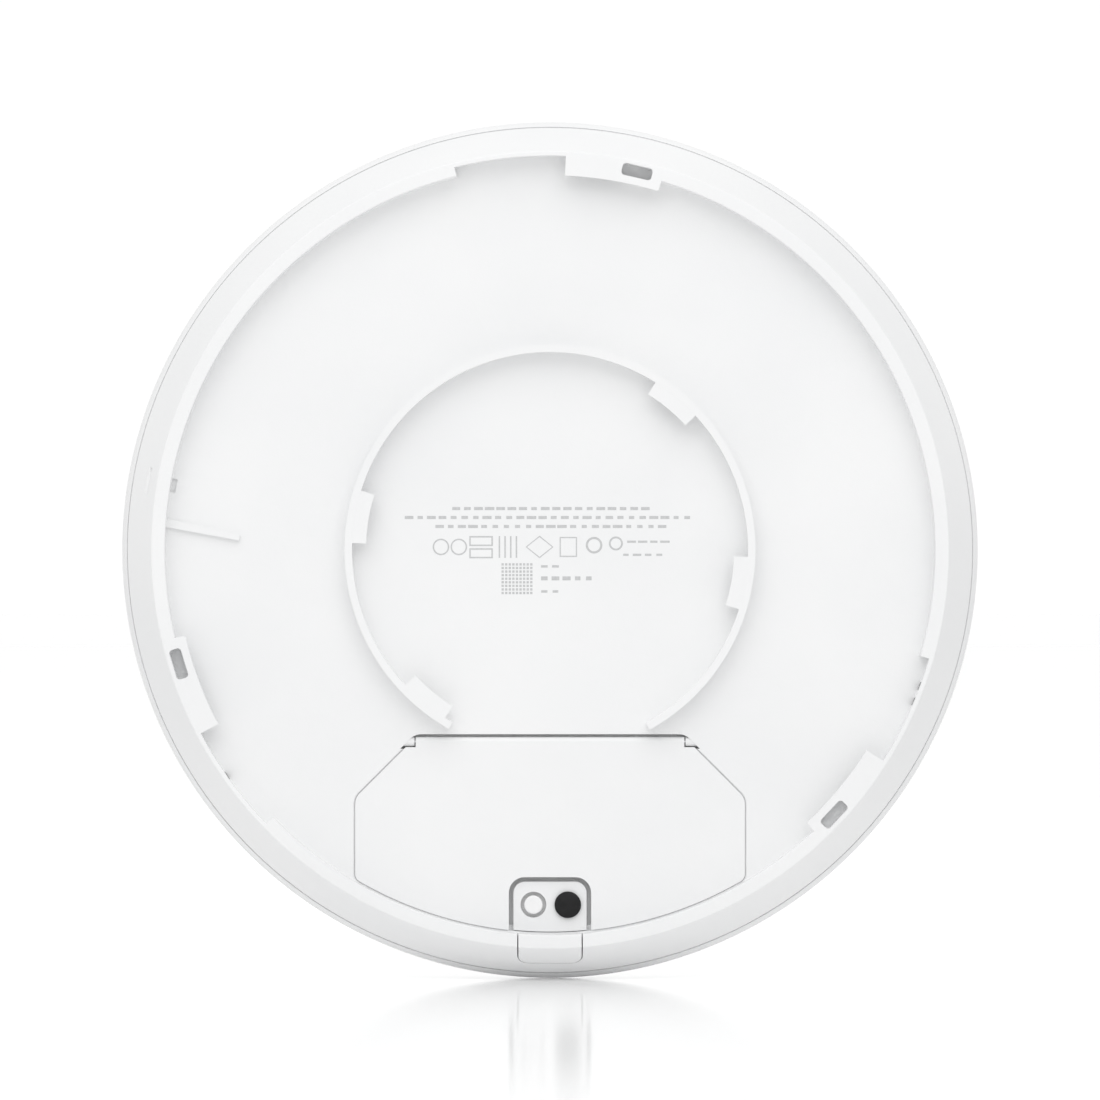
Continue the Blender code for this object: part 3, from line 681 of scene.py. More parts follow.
@dataclass(frozen=True)
class SolderMask:
    """Green circuit board with copper tracks that show through its mask."""

    name: str = "solder_mask"
    pitch: float = 1.27

    def material(self) -> bpy.types.Material:
        """Mix the material.

        Returns:
            The material with its node tree.
        """
        recipe = Recipe(self.name)
        tracks = recipe.tree.nodes.new("ShaderNodeTexBrick")
        turn = recipe.tree.nodes.new("ShaderNodeMapping")
        turn.inputs["Rotation"].default_value = (math.radians(90), 0.0, 0.0)
        tracks.inputs["Scale"].default_value = 1.0 / (self.pitch * 4 * MM)
        tracks.inputs["Mortar Size"].default_value = 0.035
        tracks.inputs["Color1"].default_value = (0.010, 0.085, 0.045, 1.0)
        tracks.inputs["Color2"].default_value = (0.014, 0.105, 0.055, 1.0)
        tracks.inputs["Mortar"].default_value = (0.035, 0.19, 0.09, 1.0)
        recipe.link(recipe.coords.outputs["Object"], turn.inputs["Vector"])
        recipe.link(turn.outputs["Vector"], tracks.inputs["Vector"])
        recipe.link(tracks.outputs["Color"], recipe.shader.inputs["Base Color"])
        weave = recipe.noise(0.5, 2.0)
        recipe.link(recipe.ramp(weave, 0.3, 0.42), recipe.shader.inputs["Roughness"])
        recipe.bump([(tracks.outputs["Fac"], 0.03), (weave, 0.006)])
        return recipe.material


@dataclass(frozen=True)
class DarkMoulding:
    """Black or grey moulding compound with a fine, dull grain."""

    name: str
    dark: Triple = (0.012, 0.012, 0.013)
    light: Triple = (0.026, 0.026, 0.028)
    roughness: float = 0.55
    grain: float = 0.2

    def material(self) -> bpy.types.Material:
        """Mix the material.

        Returns:
            The material with its node tree.
        """
        recipe = Recipe(self.name)
        cloud = recipe.noise(4.0, 3.0)
        grain = recipe.noise(self.grain, 3.0)
        recipe.link(recipe.tint(cloud, self.dark, self.light), recipe.shader.inputs["Base Color"])
        spread = recipe.ramp(grain, self.roughness - 0.06, self.roughness + 0.08)
        recipe.link(spread, recipe.shader.inputs["Roughness"])
        recipe.bump([(grain, 0.01)])
        return recipe.material


@dataclass(frozen=True)
class PadInk:
    """Thin pad-printing ink, a little broken where the plastic's grain shows."""

    name: str
    dark: Triple = (0.50, 0.505, 0.51)
    light: Triple = (0.60, 0.605, 0.61)

    def material(self) -> bpy.types.Material:
        """Mix the material.

        Returns:
            The material with its node tree.
        """
        recipe = Recipe(self.name)
        worn = recipe.noise(0.5, 4.0)
        recipe.link(recipe.tint(worn, self.dark, self.light), recipe.shader.inputs["Base Color"])
        recipe.link(recipe.ramp(worn, 0.5, 0.7), recipe.shader.inputs["Roughness"])
        recipe.bump([(worn, 0.004)])
        return recipe.material


@dataclass
class Paints:
    """Every finish, mixed once and handed out by slot."""

    mixed: dict[Slot, bpy.types.Material] = field(default_factory=dict)

    def mix(self) -> "Paints":
        """Mix all finishes.

        Returns:
            The same object, ready for use.
        """
        steel = Metal("zinc_plate", (0.50, 0.51, 0.53), (0.60, 0.61, 0.62), 0.34)
        tin = Metal(
            "tin_plate_drawn",
            dark=(0.62, 0.63, 0.64),
            light=(0.72, 0.73, 0.74),
            roughness=0.32,
            grain=0.3,
            depth=0.003,
            stretch=(1.0, 1.0, 6.0),
        )
        cast = Metal("cast_skin", (0.50, 0.51, 0.52), (0.60, 0.61, 0.62), 0.55, 0.5, 0.03)
        gold = Metal("gold_flash", (0.80, 0.56, 0.20), (0.88, 0.66, 0.28), 0.24, 0.3, 0.002)
        finishes = {
            Slot.WHITE: MouldedPlastic("white_moulding"),
            Slot.BUTTON: MouldedPlastic(
                "button_moulding",
                light=(0.9, 0.9, 0.9),
                dark=(0.88, 0.88, 0.88),
                roughness=0.36,
                grain=0.2,
                depth=0.006,
            ),
            Slot.RADOME: MouldedPlastic("radome_moulding", roughness=0.4, grain=0.26, depth=0.009),
            Slot.DIFFUSER: MilkyDiffuser(),
            Slot.BLACK_RUBBER: Rubber(),
            Slot.BLACK_PLASTIC: DarkMoulding("black_moulding", roughness=0.45),
            Slot.BOARD: SolderMask(),
            Slot.STEEL: steel,
            Slot.TIN: tin,
            Slot.CAST: cast,
            Slot.GOLD: gold,
            Slot.RESIN: DarkMoulding("package_resin"),
            Slot.PAD: DarkMoulding("gap_pad", (0.28, 0.34, 0.44), (0.38, 0.45, 0.56), 0.8, 0.35),
            Slot.SHEATH: DarkMoulding("lead_sheath", (0.02, 0.02, 0.02), (0.04, 0.04, 0.04), 0.42),
            Slot.LED: DarkMoulding("lamp_resin", (0.8, 0.78, 0.5), (0.9, 0.88, 0.66), 0.3),
        }
        for slot, finish in finishes.items():
            self.mixed[slot] = finish.material()
        return self

    def coat(self, piece: bpy.types.Object, slot: Slot) -> bpy.types.Object:
        """Give a piece its finish.

        Args:
            piece: the piece to coat.
            slot: which finish it takes.

        Returns:
            The same object.
        """
        piece.data.materials.clear()
        piece.data.materials.append(self.mixed[slot])
        return piece


def fit(piece: bpy.types.Object, body: Body, *nodes: str) -> bpy.types.Object:
    """Let a finished piece ride on a body in place of its frame nodes.

    Args:
        piece: the finished piece.
        body: the body it moves with.
        nodes: frame nodes it stands for.

    Returns:
        The same object.
    """
    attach(piece, body.value)
    if nodes:
        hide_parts(*nodes)
    return piece


# ------------------------------------------------------------------ rear cover

@dataclass
class DoorPlan:
    """Outline of the eight-cornered port door and the opening it closes."""

    top: float = -42.6
    chamfer: float = 12.1
    half: float = 44.7
    radius: float = 87.65
    corner: float = 3.5
    thickness: float = 2.0
    hinge_up: float = -43.95
    hinge_depth: float = 6.6
    roll: float = 1.1
    roll_half: float = 30.8
    relief: float = 1.25
    foot_turn: float = 59.3
    lip_foot: float = -45.3
    lip_top: float = -42.0
    bore: float = 0.65
    cutout_half: float = 9.43
    cutout_top: float = -75.0
    cutout_corner: float = 3.6

    def outline(self, offset: float = 0.0, top: float | None = None, foot_corner: float = 2.0) -> Outline:
        """Draw the panel grown by an offset.

        Args:
            offset: how far its sides move out.
            top: height of its top edge, if not moved like the sides.
            foot_corner: radius where the sides meet the round foot.

        Returns:
            The outline.
        """
        if top is None:
            top = self.top + offset
        side = self.half + offset
        chamfer = self.chamfer - offset * math.sqrt(2)
        radius = self.radius + offset
        corner = max(0.6, self.corner + offset)
        foot = math.degrees(math.asin(side / radius))
        right = [(-chamfer - top, top), (side, -chamfer - side)]
        bottom = arc(radius, 180 - foot, 180 + foot)
        left = [(-x, up) for x, up in reversed(right)]
        radii = [corner, corner, 0.0] + [0.0] * (len(bottom) - 2) + [0.0, corner, corner]
        return self.trim_foot(rounded(right + bottom + left, radii), side, foot_corner)

    def trim_foot(self, outline: Outline, side: float, radius: float) -> Outline:
        """Round the two feet of an outline.

        Args:
            outline: the outline, sharp where its sides meet the foot.
            side: half its width.
            radius: the corner's radius.

        Returns:
            The outline with round feet.
        """
        sharp = [i for i, (x, up) in enumerate(outline) if abs(abs(x) - side) < 1e-6 and up < -70.0]
        result: Outline = []
        for i, (x, up) in enumerate(outline):
            sign = 1.0 if x > 0 else -1.0
            if i in sharp:
                turn = math.radians(self.foot_turn)
                reach = radius * math.tan(turn / 2)
                centre = (x - sign * radius, up + reach)
                corner = []
                for k in range(7):
                    t = turn * k / 6
                    corner.append((centre[0] + sign * radius * math.cos(t), centre[1] - radius * math.sin(t)))
                result += corner if sign > 0 else list(reversed(corner))
                continue
            close = any(math.dist((x, up), outline[j]) < radius * 0.9 for j in sharp)
            if not (close and up < outline[sharp[0]][1]):
                result.append((x, up))
        return result

    def door(self, top: float) -> Outline:
        """Draw the panel with its U-shaped cut-out.

        Args:
            top: height of its top edge.

        Returns:
            The outline.
        """
        plain = self.outline(0.0, top)
        half = self.cutout_half
        kept = [point for point in plain if not (abs(point[0]) < half + 0.4 and point[1] < -80.0)]
        split = next(i for i, point in enumerate(kept) if point[0] < 0 and point[1] < -80.0)
        mouth = -math.sqrt(self.radius**2 - half**2)
        notch = rounded(
            [(half, mouth), (half, self.cutout_top), (-half, self.cutout_top), (-half, mouth)],
            [0.0, self.cutout_corner, self.cutout_corner, 0.0],
        )
        return kept[:split] + notch + kept[split:]


@dataclass
class RearCover:
    """The white moulded disc that meets the bracket."""

    paints: Paints
    plan: DoorPlan
    lip: float = 88.1
    land: float = 91.2
    floor: float = 5.5
    back: float = 7.5
    skirt: float = 97.0
    skirt_top: float = 9.5
    skirt_end: float = 10.5
    bayonets: tuple[float, ...] = (0.0, 120.0, 240.0)
    entry_wall: float = 90.2
    entry_start: float = -14.0
    entry_end: float = 2.3
    pocket_end: float = 16.2
    lug_inner: float = 85.7
    lug_outer: float = 89.4
    lug_end: float = 16.8
    lug_thickness: float = 1.8
    slot_radius: float = 88.8
    slot_angle: float = 12.95
    slot_half: Point = (3.5, 1.4)
    slot_corner: float = 0.8
    ring_inner: float = 45.3
    ring_outer: float = 47.0
    ring_ends: Point = (-150.5, 151.0)
    ring_depth: float = 0.7
    ring_tabs: tuple[Point, ...] = ((32.2, 47.3), (92.0, 107.4), (212.0, 227.0), (272.0, 287.5))
    tab_radii: Point = (42.1, 46.1)
    tab_back: float = 2.2
    seam: float = 0.35
    rebate: float = 0.32
    bay_end: float = 19.6
    tub_wall: float = 2.6
    tub_end: float = 20.9
    hinge_lip: Point = (8.0, 8.57)
    knuckle: float = 1.03
    knuckle_ends: Point = (31.07, 34.6)
    island_half: float = 8.4
    island_top: float = -76.05
    flange_half: float = 9.4
    flange_top: float = -75.05
    bosses: tuple[Point, ...] = ((-54.0, 54.0), (54.0, 54.0), (-62.0, -28.0), (62.0, -28.0))
    boss_radius: float = 3.4
    boss_bore: float = 1.6
    boss_depths: Point = (6.7, 15.2)
    rib_outline: tuple[Point, ...] = ((-88.5, 7.35), (-88.5, 5.35), (-71.3, 2.2), (-71.0, 3.4))
    exit_half: float = 7.5
    exit_depth: float = 6.2
    exit_corner: float = 2.4
    step: float = 0.03

    def build(self) -> bpy.types.Object:
        """Make the cover.

        Returns:
            The finished cover, riding on the housing.
        """
        cover = self.blank()
        for turn in self.bayonets:
            self.cut_bayonet(cover, turn)
        self.raise_ring(cover)
        self.open_bay(cover)
        self.add_bosses(cover)
        self.mark_rim(cover)
        ease(cover, 0.22, 2)
        self.paints.coat(cover, Slot.WHITE)
        return fit(cover, Body.HOUSING, "rear_cover")

    def blank(self) -> bpy.types.Object:
        """Turn the disc with its raised rim.

        Returns:
            The plain disc.
        """
        profile = [(0.0, self.floor)]
        profile += [(self.lip - 0.35, self.floor), (self.lip - 0.1, self.floor - 0.1)]
        profile += [(self.lip, self.floor - 0.35)]
        profile += [(self.lip, 0.25), (self.lip + 0.07, 0.07), (self.lip + 0.25, 0.0)]
        profile += [(self.land - 0.3, 0.0), (self.land - 0.08, 0.04), (self.land + 0.1, 0.2)]
        profile += [(self.skirt - 0.15, self.skirt_top - 0.24), (self.skirt, self.skirt_top + 0.1)]
        profile += [(self.skirt, self.skirt_end + 0.1), (self.skirt - 0.15, self.skirt_end + 0.2)]
        profile += [(94.6, self.skirt_end + 0.2), (94.6, 8.6), (93.4, self.back), (0.0, self.back)]
        return turned("rear_cover_shell", profile)

    def cut_bayonet(self, cover: bpy.types.Object, turn: float) -> None:
        """Open one entry and leave its slotted lug.

        Args:
            cover: the cover.
            turn: the bayonet's angle.
        """
        start = turn + self.entry_start
        reach = sector(86.0, self.entry_wall, start, turn + self.pocket_end)
        pocket = plate("pocket", [reach], self.lug_thickness, self.floor + self.step)
        lug = plate("lug", [self.lug_outline(turn)], self.step, self.lug_thickness + self.step)
        gap = sector(84.0, self.entry_wall + self.step, start - self.step, turn + self.entry_end)
        entry = plate("entry", [gap], -1.0, 3.0)
        slot = plate("slot", [self.slot_outline(turn)], -1.0, self.back - 0.3)
        work(cover, Joining.CUT, pocket)
        work(cover, Joining.ADD, lug)
        work(cover, Joining.CUT, entry, slot)

    def lug_outline(self, turn: float) -> Outline:
        """Draw a lug, with its free corner rounded.

        Args:
            turn: the bayonet's angle.

        Returns:
            The lug's outline.
        """
        outer = arc(self.lug_outer, turn, turn + self.lug_end)
        points = outer + arc(self.lug_inner, turn + self.lug_end, turn)
        radii = [0.0] * len(points)
        radii[len(outer)] = 0.5
        return rounded(points, radii, 4)

    def slot_outline(self, turn: float) -> Outline:
        """Draw a lug's slot, turned to lie along the rim.

        Args:
            turn: the bayonet's angle.

        Returns:
            The slot's outline.
        """
        half, tall = self.slot_half
        square = [(-half, -tall), (half, -tall), (half, tall), (-half, tall)]
        across, up = polar(self.slot_radius, turn + self.slot_angle)
        spin = math.radians(turn + self.slot_angle)
        outline: Outline = []
        for x, y in rounded(square, [self.slot_corner] * 4):
            spun_x = across + x * math.cos(spin) + y * math.sin(spin)
            outline.append((spun_x, up - x * math.sin(spin) + y * math.cos(spin)))
        return outline

    def raise_ring(self, cover: bpy.types.Object) -> None:
        """Raise the open inner ring and its inward tabs.

        Args:
            cover: the cover.
        """
        band = sector(self.ring_inner, self.ring_outer, *self.ring_ends)
        ring = plate("ring", [band], self.ring_depth, self.floor + 1.0)
        tabs = [
            plate("tab", [sector(*self.tab_radii, start, end)], self.ring_depth + self.step, self.tab_back)
            for start, end in self.ring_tabs
        ]
        work(cover, Joining.ADD, ring, *tabs)

    def open_bay(self, cover: bpy.types.Object) -> None:
        """Sink the port bay with its door seat, its hinge lip and its jack doorway.

        Args:
            cover: the cover.
        """
        plan = self.plan
        tub = plate("tub", [plan.outline(self.tub_wall)], self.back - 0.6, self.tub_end)
        rebate = plate("rebate", [plan.outline(self.seam)], 3.0, self.floor + self.rebate)
        seat = plate("seat", [plan.outline(0.09, plan.top - 0.13)], 3.0, self.back + 0.3)
        bay = plate("bay", [plan.outline(-1.2, plan.top + 0.25)], self.back - 0.5, self.bay_end)
        side = plan.chamfer + 0.85
        lip_points = [(side + plan.lip_foot, plan.lip_foot), (-side - plan.lip_foot, plan.lip_foot)]
        lip_points += [(-side - plan.lip_top, plan.lip_top), (side + plan.lip_top, plan.lip_top)]
        lip = plate("lip", [lip_points], *self.hinge_lip)
        work(cover, Joining.ADD, tub)
        work(cover, Joining.CUT, rebate, seat, bay)
        work(cover, Joining.ADD, lip)
        self.relieve_hinge(cover)
        self.add_island(cover)
        doorway = block("doorway", (-28.3, -11.7), (-43.2, -39.0), (8.6, 19.5))
        sockets = rod("sockets", plan.bore, (plan.hinge_up, plan.hinge_depth), (-34.2, 34.2))
        work(cover, Joining.CUT, doorway, sockets)

    def relieve_hinge(self, cover: bpy.types.Object) -> None:
        """Clear the door's roll and add the knuckles at its ends.

        Args:
            cover: the cover.
        """
        plan = self.plan
        chamfer = plan.chamfer - (self.seam + 0.28) * math.sqrt(2)
        top = plan.top + self.seam + self.step
        foot = plan.hinge_up - plan.roll - 0.5
        right = [(chamfer + foot, foot), (chamfer + top, top)]
        points = [(-x, up) for x, up in reversed(right)] + right
        depth = plan.hinge_depth + plan.roll + 0.4
        relief = plate("relief", [rounded(points, [3.85, 0.0, 0.0, 3.85])], 3.0, depth)
        work(cover, Joining.CUT, relief)
        near, far = self.knuckle_ends
        for ends in ((-far, -near), (near, far)):
            work(cover, Joining.ADD, rod("knuckle", self.knuckle, (plan.hinge_up, plan.hinge_depth), ends))

    def add_island(self, cover: bpy.types.Object) -> None:
        """Stand the hollow button island in the bay.

        Args:
            cover: the cover.
        """
        half, top = self.flange_half, self.flange_top
        square = [(-half, -86.9), (half, -86.9), (half, top), (-half, top)]
        flange = plate("flange", [rounded(square, [0.0, 0.0, 3.4, 3.4])], 8.8, 9.8)
        island = plate("island", [self.island_outline(0.0, -87.0)], 7.8 + self.step, 20.2)
        hollow = plate("hollow", [self.island_outline(-1.1, -86.0)], 0.0, self.bay_end)
        work(cover, Joining.ADD, island, flange)
        work(cover, Joining.CUT, hollow)

    def island_outline(self, offset: float, foot: float) -> Outline:
        """Draw the button island.

        Args:
            offset: how far its sides move out.
            foot: height of its straight foot.

        Returns:
            The outline.
        """
        half, top = self.island_half + offset, self.island_top + offset
        corner = max(0.8, 2.6 + offset)
        return rounded([(-half, foot), (half, foot), (half, top), (-half, top)], [0.0, 0.0, corner, corner])

    def add_bosses(self, cover: bpy.types.Object) -> None:
        """Add the screw bosses inside.

        Args:
            cover: the cover.
        """
        for x, up in self.bosses:
            near, far = self.boss_depths
            post = [(0.0, near), (self.boss_radius, near), (self.boss_radius, far), (0.0, far)]
            hole = [(0.0, 8.6), (self.boss_bore, 8.6), (self.boss_bore, 16.0), (0.0, 16.0)]
            boss = turned("boss", post, (x, up), 48)
            bore = turned("bore", hole, (x, up), 32)
            work(cover, Joining.ADD, boss)
            work(cover, Joining.CUT, bore)

    def mark_rim(self, cover: bpy.types.Object) -> None:
        """Add the floor rib, the alignment mark, the breather and the cable exit.

        Args:
            cover: the cover.
        """
        rib = plate("rib", [list(self.rib_outline)], self.floor - 1.0, self.floor + 1.0)
        mark = plate("mark", [sector(92.95, 94.6, -82.0, -78.3)], -1.0, 4.05)
        breather = plate("breather", [sector(86.9, 88.5, -81.3, -79.3)], 4.4, 6.1)
        way = channel("way", self.exit_half, self.exit_depth, self.exit_corner, (-99.5, -87.3))
        work(cover, Joining.ADD, rib)
        work(cover, Joining.CUT, mark, breather, way)


@dataclass
class CableExitTab:
    """The piece of rim that lifts out for a cable."""

    paints: Paints
    half: float = 7.25
    depth: float = 5.95
    corner: float = 2.15

    def build(self) -> bpy.types.Object:
        """Make the tab.

        Returns:
            The finished tab, riding on its own body.
        """
        tab = channel("cable_exit_insert", self.half, self.depth, self.corner, (-99.0, -84.0))
        profile = [(88.1, 0.25), (88.17, 0.07), (88.35, 0.0), (90.9, 0.0), (91.12, 0.04), (91.3, 0.2)]
        profile += [(98.2, 11.5), (88.1, 11.5)]
        work(tab, Joining.KEEP, turned("rim", profile))
        ease(tab, 0.15, 2)
        self.paints.coat(tab, Slot.WHITE)
        return fit(tab, Body.EXIT_TAB, "cable_exit_tab")


# ------------------------------------------------------------------ door and buttons

@dataclass
class PortDoor:
    """The flap over the port bay, with its rolled hinge edge, ribs and tongues."""

    paints: Paints
    plan: DoorPlan
    face: float = 5.5
    roll_reach: float = 31.3
    rib_span: Point = (17.0, 18.4)
    tongue_span: Point = (22.0, 28.0)
    corner_reach: float = 37.0

    def build(self) -> bpy.types.Object:
        """Make the door.

        Returns:
            The finished door, riding on its own body.
        """
        plan = self.plan
        back = self.face + plan.thickness
        door = plate("port_flap", [plan.door(plan.hinge_up - 0.2)], self.face, back)
        ends = (-self.roll_reach, self.roll_reach)
        roll = rod("roll", plan.roll, (plan.hinge_up, plan.hinge_depth), ends, 96)
        work(door, Joining.ADD, roll)
        for sign in (-1.0, 1.0):
            rib_xs = tuple(sorted(sign * x for x in self.rib_span))
            tongue_xs = tuple(sorted(sign * x for x in self.tongue_span))
            rib = block("rib", rib_xs, (-72.0, -47.0), (back - 0.4, back + 1.4))
            tongue = block("tongue", tongue_xs, (-81.4, -80.2), (back - 0.4, back + 3.6))
            corner_xs = tuple(sorted((sign * plan.roll_half, sign * self.corner_reach)))
            corner = block("corner", corner_xs, (plan.hinge_up - plan.relief, -40.0), (3.0, 12.0))
            work(door, Joining.ADD, rib, tongue)
            work(door, Joining.CUT, corner)
        bore = rod("bore", plan.bore, (plan.hinge_up, plan.hinge_depth), (-40.0, 40.0), 32)
        work(door, Joining.CUT, bore)
        ease(door, 0.32, 3)
        self.paints.coat(door, Slot.WHITE)
        return fit(door, Body.DOOR, "port_door")


@dataclass
class ButtonIsland:
    """The bezel at the foot of the bay with its button and rubber plug."""

    paints: Paints
    depth: float = 6.7
    back: float = 7.5
    half: float = 8.4
    top: float = -76.05
    foot_radius: float = 87.55
    corner: float = 2.6
    button: Point = (-3.8, -81.35)
    button_hole: float = 2.95
    plug: Point = (4.08, -81.35)
    plug_hole: float = 2.75

    def build(self) -> list[bpy.types.Object]:
        """Make the bezel, the button and the plug.

        Returns:
            The three finished pieces.
        """
        return [self.make_bezel(), self.make_button(), self.make_plug()]

    def make_bezel(self) -> bpy.types.Object:
        """Make the bezel.

        Returns:
            The finished bezel.
        """
        foot = math.degrees(math.asin(self.half / self.foot_radius))
        bottom = arc(self.foot_radius, 180 - foot, 180 + foot)
        radii = [self.corner] + [0.0] * len(bottom) + [self.corner]
        outline = rounded([(self.half, self.top)] + bottom + [(-self.half, self.top)], radii)
        holes = [circle(*self.button, self.button_hole), circle(*self.plug, self.plug_hole)]
        bezel = plate("button_surround", [outline] + holes, self.depth, self.back)
        ease(bezel, 0.12, 2)
        self.paints.coat(bezel, Slot.WHITE)
        return fit(bezel, Body.HOUSING, "button_bezel")

    def make_button(self) -> bpy.types.Object:
        """Make the reset button, slightly dished.

        Returns:
            The finished button.
        """
        near = self.depth - 0.3
        profile = [(0.0, near + 0.12), (0.9, near + 0.09), (1.5, near + 0.02)]
        profile += fillet((1.86, near + 0.26), 0.26, -90, 0)
        profile += [(2.12, self.back + 0.8), (3.25, self.back + 0.8)]
        profile += [(3.25, self.back + 1.35), (0.0, self.back + 1.35)]
        button = turned("reset_cap", profile, self.button, 96)
        self.paints.coat(button, Slot.BUTTON)
        return fit(button, Body.BUTTON, "reset_button")

    def make_plug(self) -> bpy.types.Object:
        """Make the rubber plug, slightly domed.

        Returns:
            The finished plug.
        """
        near = self.depth - 1.0
        profile = [(0.0, near), (1.4, near + 0.02), (2.3, near + 0.09)]
        profile += fillet((2.78, near + 0.4), 0.27, -70, 0)
        profile += fillet((2.85, self.depth - 0.4), 0.2, 0, 90)
        profile += [(2.45, self.depth - 0.2), (2.45, self.back + 1.05), (2.3, self.back + 1.2)]
        profile += [(0.0, self.back + 1.2)]
        plug = turned("bung", profile, self.plug, 96)
        self.paints.coat(plug, Slot.BLACK_RUBBER)
        return fit(plug, Body.PLUG, "service_plug")


# ------------------------------------------------------------------ front

@dataclass
class ShellTree:
    """Geometry Nodes tree for a round shell whose section follows a superellipse."""

    name: str = "dome_shell"
    tree: bpy.types.NodeTree = field(init=False)
    given: bpy.types.Node = field(init=False)

    def __post_init__(self) -> None:
        """Start the tree and its named inputs."""
        self.tree = bpy.data.node_groups.new(self.name, "GeometryNodeTree")
        sockets = self.tree.interface
        for label in ("Radius", "Rise", "Start Depth", "Rim Drop", "Rim Height", "Top Angle"):
            sockets.new_socket(label, in_out="INPUT", socket_type="NodeSocketFloat")
        for label in ("Turns", "Rows"):
            sockets.new_socket(label, in_out="INPUT", socket_type="NodeSocketInt")
        sockets.new_socket("Material", in_out="INPUT", socket_type="NodeSocketMaterial")
        sockets.new_socket("Geometry", in_out="OUTPUT", socket_type="NodeSocketGeometry")
        self.given = self.tree.nodes.new("NodeGroupInput")

    def math(self, operation: str, *values: object, clamp: bool = False) -> bpy.types.NodeSocket:
        """Add a Math node.

        Args:
            operation: the node's operation.
            values: sockets or numbers for its inputs.
            clamp: keep the result between 0 and 1.

        Returns:
            The result.
        """
        node = self.tree.nodes.new("ShaderNodeMath")
        node.operation = operation
        node.use_clamp = clamp
        for socket, value in zip(node.inputs, values):
            if isinstance(value, (int, float)):
                socket.default_value = value
            else:
                self.tree.links.new(value, socket)
        return node.outputs[0]

    def assemble(self, rim_share: float = 0.16) -> bpy.types.NodeTree:
        """Wire the tree.

        Args:
            rim_share: share of the rows that lie below the widest circle.

        Returns:
            The finished tree.
        """
        nodes, link = self.tree.nodes, self.tree.links.new
        given = self.given.outputs
        grid = nodes.new("GeometryNodeMeshGrid")
        grid.inputs["Size X"].default_value = 1.0
        grid.inputs["Size Y"].default_value = 1.0
        link(given["Turns"], grid.inputs["Vertices X"])
        link(given["Rows"], grid.inputs["Vertices Y"])
        spot = nodes.new("GeometryNodeInputPosition")
        parts = nodes.new("ShaderNodeSeparateXYZ")
        link(spot.outputs["Position"], parts.inputs["Vector"])
        around = self.math("MULTIPLY", self.math("ADD", parts.outputs["X"], 0.5), 2 * math.pi)
        along = self.math("ADD", parts.outputs["Y"], 0.5)
        rim = self.math("DIVIDE", self.math("SUBTRACT", rim_share, along), rim_share, clamp=True)
        dome = self.math("DIVIDE", self.math("SUBTRACT", along, rim_share), 1.0 - rim_share, clamp=True)
        climb = self.math("MULTIPLY", dome, given["Top Angle"])
        narrow = self.math("SQRT", self.math("COSINE", climb))
        radius = self.math("MULTIPLY", given["Radius"], narrow)
        drop = self.math("MULTIPLY", given["Rim Drop"], self.math("POWER", rim, 3.0))
        radius = self.math("SUBTRACT", radius, drop)
        rise = self.math("MULTIPLY", given["Rise"], self.math("SINE", climb))
        depth = self.math("ADD", given["Start Depth"], rise)
        depth = self.math("SUBTRACT", depth, self.math("MULTIPLY", given["Rim Height"], rim))
        place_at = nodes.new("ShaderNodeCombineXYZ")
        link(self.math("MULTIPLY", radius, self.math("SINE", around)), place_at.inputs["X"])
        link(depth, place_at.inputs["Y"])
        link(self.math("MULTIPLY", radius, self.math("COSINE", around)), place_at.inputs["Z"])
        move = nodes.new("GeometryNodeSetPosition")
        link(grid.outputs["Mesh"], move.inputs["Geometry"])
        link(place_at.outputs["Vector"], move.inputs["Position"])
        seam = nodes.new("GeometryNodeMergeByDistance")
        seam.inputs["Distance"].default_value = 0.00001
        link(move.outputs["Geometry"], seam.inputs["Geometry"])
        real = nodes.new("GeometryNodeRealizeInstances")
        link(seam.outputs["Geometry"], real.inputs["Geometry"])
        painted = nodes.new("GeometryNodeSetMaterial")
        link(real.outputs["Geometry"], painted.inputs["Geometry"])
        link(given["Material"], painted.inputs["Material"])
        out = nodes.new("NodeGroupOutput")
        link(painted.outputs["Geometry"], out.inputs["Geometry"])
        return self.tree


def grow(name: str, tree: bpy.types.NodeTree, values: dict[str, object]) -> bpy.types.Object:
    """Run a Geometry Nodes tree and keep its result as a plain mesh.

    Args:
        name: the piece's name.
        tree: the tree.
        values: its inputs by name.

    Returns:
        The piece.
    """
    host = bpy.data.objects.new(name + "_host", bpy.data.meshes.new(name + "_host"))
    bpy.context.scene.collection.objects.link(host)
    modifier = host.modifiers.new("grow", "NODES")
    modifier.node_group = tree
    for item in tree.interface.items_tree:
        if item.in_out == "INPUT" and item.name in values:
            modifier[item.identifier] = values[item.name]
    mesh = settled_mesh(host)
    bpy.data.objects.remove(host, do_unlink=True)
    piece = bpy.data.objects.new(name, mesh)
    bpy.context.scene.collection.objects.link(piece)
    return piece


